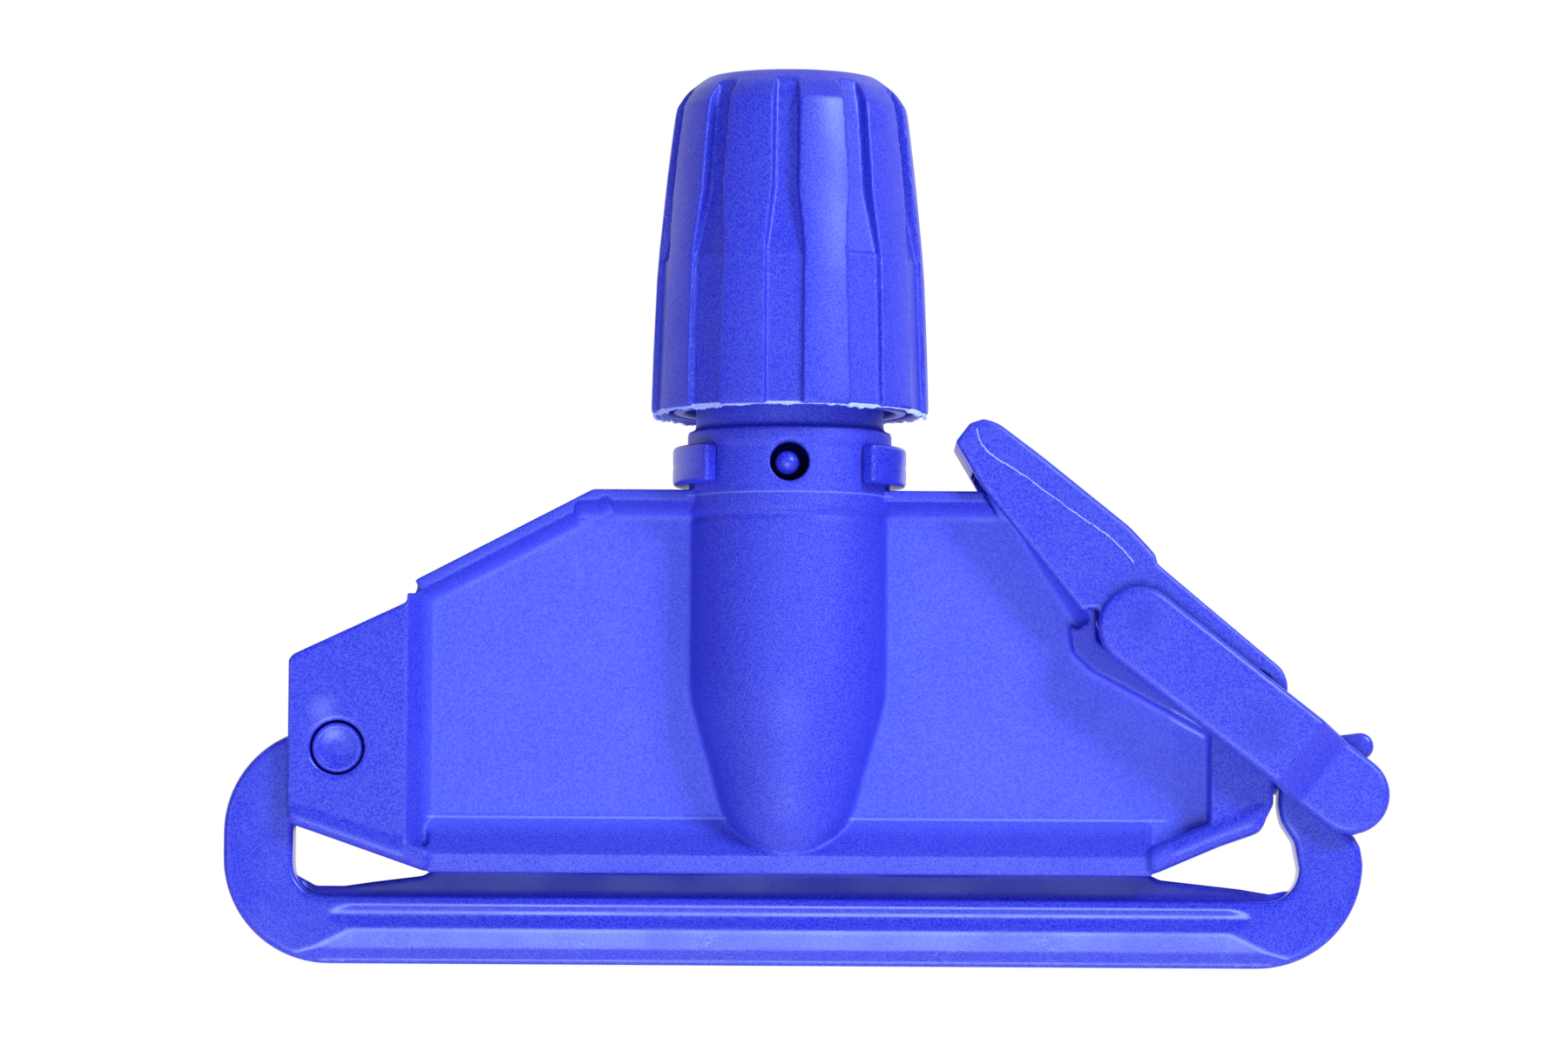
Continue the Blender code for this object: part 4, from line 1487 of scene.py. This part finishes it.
@dataclass
class GripCollar:
    """Ribbed nut that closes the collet on the handle, with the torn flash along its foot."""

    ribs: int = 10
    rib_phase: float = -90.0 + 15.4 - 18.0
    bottom: float = 89.2
    mouth_radius: float = 12.9
    flash_points: int = 420
    plastic: MouldedPlastic = MouldedPlastic(
        "collar_plastic", roughness=0.46, scuffs=0.1, specks=0.3, mottle=0.25
    )
    flash_plastic: MouldedPlastic = MouldedPlastic(
        "collar_flash_plastic",
        base=(0.72, 0.76, 0.99, 1.0),
        deep=(0.2, 0.24, 0.92, 1.0),
        mottle=0.8,
        grit=0.2,
    )

    def profile(self) -> list[Flat]:
        """Closed profile of the turned blank, from the foot up the outside and down the bore.

        Returns:
            Points as radius and height.
        """
        outside = [
            (22.3, self.bottom), (22.45, 90.0), (22.2, 99.0), (21.7, 111.0), (21.3, 116.0), (20.1, 128.0)
        ]
        shoulder = [
            (20.1, 128.0), (18.9, 137.6), (18.2, 139.6), (16.9, 141.4), (15.2, 142.8), (14.1, 143.6),
            (13.3, 143.95),
        ]
        bore = [
            (self.mouth_radius, 143.6), (self.mouth_radius, 141.0), (14.4, 139.9), (17.4, 105.2),
            (17.1, 104.0),
        ]
        skirt = [(17.1, self.bottom), (18.8, self.bottom), (18.8, 112.0), (19.8, 112.0), (20.4, self.bottom)]
        return outside[:-1] + flowing(shoulder, 4) + bore + skirt

    def groove(self) -> Solid:
        """Cutter for one groove: wide and shallow below, a ramp, narrow and deep above.

        Returns:
            The closed cutter.
        """
        stations = [
            (88.0, 21.3, 3.0, 3.3),
            (90.2, 21.35, 3.0, 3.3),
            (111.0, 20.55, 3.05, 3.4),
            (113.7, 20.45, 3.1, 3.45),
            (113.95, 20.1, 3.1, 3.45),
            (124.2, 18.3, 1.85, 2.4),
            (131.0, 17.6, 1.85, 2.4),
            (138.0, 16.8, 1.85, 2.4),
            (141.0, 16.1, 1.75, 2.3),
            (144.5, 15.6, 1.6, 2.2),
        ]
        rings = []
        for height, floor, half, wide in stations:
            outer = floor + 4.2
            ring = [(floor, -half), (floor, half), (outer, wide), (outer, -wide)]
            rings.append([at(x, y, height) for x, y in ring])
        return lofted("groove", rings)

    def build(self) -> Solid:
        """Shape the collar.

        Returns:
            The finished piece.
        """
        collar = turned("grip_collar_nut", self.profile(), 180)
        combined(collar, [round_copies(self.groove(), self.ribs, self.rib_phase)], Combine.CUT)
        return moulded(collar, 0.28, 3, 160000)

    def build_flash(self) -> Solid:
        """Torn flash round the collar's foot, thicker in some places than in others.

        Returns:
            The finished strip.
        """
        rng = random.Random(7)
        line, drop, size = [], [], 0.3
        for k in range(self.flash_points + 1):
            turn = FULL_TURN * (k % self.flash_points) / self.flash_points
            size = min(max(size + rng.uniform(-0.16, 0.16), 0.05), 0.8)
            radius = 21.85 - 0.6 * self._in_groove(turn)
            out = Vector((math.cos(turn), math.sin(turn), 0.0))
            line.append(Vector((0, 0, (self.bottom + 0.35 - MOUTH_HEIGHT) * MM)) + out * radius * MM)
            drop.append(
                (out * rng.uniform(0.0, 0.15) + Vector((0, 0, -0.3 - size * rng.uniform(0.6, 1.1)))) * MM
            )
        line[-1] = line[0] + (line[1] - line[0]) * 0.02
        return ragged_strip("collar_flash", line, drop, 0.45)

    def _in_groove(self, turn: float) -> float:
        """1 in the middle of a groove and 0 on a rib, at an angle round the collar."""
        pitch = 360.0 / self.ribs
        away = abs((math.degrees(turn) - self.rib_phase + pitch / 2) % pitch - pitch / 2)
        return between([(0.0, 1.0), (7.0, 1.0), (10.0, 0.0), (pitch, 0.0)], away)

    def dress(self, piece: Solid, flash: Solid, book: EffectBook) -> None:
        """Give the collar its plastics and mount it."""
        fitted(piece, Body.COLLAR, self.plastic.make(book), "grip_collar")
        fitted(flash, Body.COLLAR, self.flash_plastic.make(book))


@dataclass
class SplitCollet:
    """Slotted tapered sleeve inside the collar."""

    bore_radius: float = 12.6
    slit_half: float = 0.8
    plastic: MouldedPlastic = MouldedPlastic("collet_plastic", base=(0.016, 0.018, 0.6, 1.0), roughness=0.46)

    def build(self) -> Solid:
        """Shape the collet.

        Returns:
            The finished piece.
        """
        r = self.bore_radius
        profile = [
            (r, 92.7), (r, 138.9), (r + 0.3, 139.3), (13.4, 139.3), (13.7, 138.9), (17.0, 105.2),
            (16.7, 104.7),
        ]
        collet = turned("split_collet_sleeve", profile + [(13.8, 104.3), (13.8, 92.7)], 120)
        for turn in (45.0, 135.0):
            a = math.radians(turn)
            along, across = Vector((math.cos(a), math.sin(a))), Vector((-math.sin(a), math.cos(a)))
            corners = [
                along * s * 25 + across * t * self.slit_half for s, t in ((-1, -1), (1, -1), (1, 1), (-1, 1))
            ]
            combined(collet, [plan_plate("slit", [tuple(c) for c in corners], 108.0, 145.0)], Combine.CUT)
        return moulded(collet, 0.34, 2, 60000)

    def dress(self, piece: Solid, book: EffectBook) -> None:
        """Give the collet its plastic and mount it."""
        fitted(piece, Body.COLLET, self.plastic.make(book), "split_collet")


# ---------------------------------------------------------------- studio


@dataclass
class Lamp:
    """One soft square light, placed by its direction from the middle of the object."""

    name: str
    direction: tuple[float, float, float]
    distance: float
    size: float
    watts: float


@dataclass
class Studio:
    """Pale floor, soft lights, a white backdrop and the camera."""

    middle: tuple[float, float, float] = (-0.84, 0.0, 71.7)
    camera_distance: float = 1.1
    camera_elevation: float = -4.0
    camera_roll: float = 0.35
    view_width: float = 253.9
    floor_drop: float = 0.8
    floor_glow: float = 0.3
    air_front: float = 0.2
    air_back: float = 1.25
    tone: tuple[float, float, float] = (0.74, 1.0, 1.0)
    lamps: tuple[Lamp, ...] = (
        Lamp("low_front", (0.0, -1.0, -0.4), 1.1, 0.45, 6.5),
        Lamp("key", (0.8, -0.8, 0.65), 1.1, 0.3, 11.0),
        Lamp("left", (-0.6, -1.0, 0.0), 1.1, 0.5, 1.2),
        Lamp("top", (0.0, -0.35, 1.0), 1.1, 0.5, 1.0),
    )

    def build(self) -> None:
        """Set up the floor, the lights and the camera."""
        self.lay_floor()
        self.hang_lamps()
        self.place_camera()

    def lay_floor(self) -> None:
        """Wide flat floor well below the object, turned up a little along its far edge."""
        foot = -MOUTH_HEIGHT * MM - self.floor_drop
        line = [
            Vector((-4.0, y, z))
            for y, z in [(-4.0, foot), (3.2, foot), (3.6, foot + 0.05), (4.0, foot + 0.16)]
        ]
        floor = trace("studio_floor", line)
        bpy.ops.mesh.select_all(action="SELECT")
        bpy.ops.mesh.extrude_region_move(TRANSFORM_OT_translate={"value": (8.0, 0, 0)})
        close_up(floor)
        pick_up(floor)
        bpy.ops.object.shade_smooth()
        material = bpy.data.materials.new("pale_floor")
        material.use_nodes = True
        sketch = Sketch(material.node_tree)
        shader = material.node_tree.nodes["Principled BSDF"]
        place = sketch.add("ShaderNodeTexCoord").outputs["Object"]
        cloud = sketch.noise(place, 3.0, 3.0)
        sketch.feed(
            shader.inputs["Base Color"], sketch.tint(cloud, (0.93, 0.93, 0.93, 1.0), (0.96, 0.96, 0.96, 1.0))
        )
        shader.inputs["Roughness"].default_value = 0.8
        shader.inputs["Emission Color"].default_value = WHITE
        shader.inputs["Emission Strength"].default_value = self.floor_glow
        floor.data.materials.append(material)

    def hang_lamps(self) -> None:
        """Soft lights round the object and an even pale sky."""
        aim = at(*self.middle)
        for lamp in self.lamps:
            light = bpy.data.lights.new(lamp.name, "AREA")
            light.shape = "SQUARE"
            light.size = lamp.size
            light.energy = lamp.watts
            light.color = self.tone
            holder = bpy.data.objects.new(lamp.name, light)
            bpy.context.scene.collection.objects.link(holder)
            towards = Vector(lamp.direction).normalized()
            holder.location = aim + towards * lamp.distance
            holder.rotation_euler = towards.to_track_quat("Z", "Y").to_euler()
        world = bpy.data.worlds.new("studio_air")
        world.use_nodes = True
        sketch = Sketch(world.node_tree)
        sky = world.node_tree.nodes["Background"]
        sky.inputs["Color"].default_value = WHITE
        facing = sketch.parts(sketch.add("ShaderNodeTexCoord").outputs["Generated"])["Y"]
        air = sketch.spread(facing, -0.1, 0.5, self.air_front, self.air_back)
        seen = sketch.add("ShaderNodeLightPath").outputs["Is Camera Ray"]
        sketch.feed(sky.inputs["Strength"], sketch.spread(seen, 0.0, 1.0, air, 1.0))
        bpy.context.scene.world = world

    def place_camera(self) -> None:
        """Camera a little below the object's middle, looking slightly up, with a long lens."""
        camera = bpy.data.cameras.new("camera")
        camera.sensor_width = 36.0
        camera.lens = 36.0 * self.camera_distance / (self.view_width * MM)
        camera.clip_end = 20.0
        holder = bpy.data.objects.new("camera", camera)
        bpy.context.scene.collection.objects.link(holder)
        lift = math.radians(self.camera_elevation)
        back = Vector((0.0, -math.cos(lift), math.sin(lift)))
        holder.location = at(*self.middle) + back * self.camera_distance
        turn = back.to_track_quat("Z", "Y").to_euler().to_matrix()
        roll = Matrix.Rotation(math.radians(self.camera_roll), 3, Vector((0, 0, 1)))
        holder.rotation_euler = (turn @ roll).to_euler()
        bpy.context.scene.camera = holder


# ---------------------------------------------------------------- the whole object


def main() -> None:
    """Build every sub-assembly round the frame, in order."""
    logging.basicConfig(level=logging.INFO, format="%(name)s: %(message)s")
    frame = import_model()
    bpy.context.scene.view_settings.view_transform = "Standard"
    book = EffectBook()
    moulding, bar, latch = FrameMoulding(), ClampBar(), Latch()
    pins, clip, collar, collet = Pins(), LockingClip(), GripCollar(), SplitCollet()
    moulding.dress(moulding.build(), book)
    bar.dress(bar.build(), book)
    latch.dress(latch.build_lever(), latch.build_stirrup(), latch.build_flash(), book)
    pins.dress(pins.build_bar_pin(), pins.build_lever_pin(), frame["nodes"]["link_pin"], book)
    clip.dress(clip.build(), book)
    collar.dress(collar.build(), collar.build_flash(), book)
    collet.dress(collet.build(), book)
    Studio().build()
    put_down()


if __name__ == "__main__":
    main()
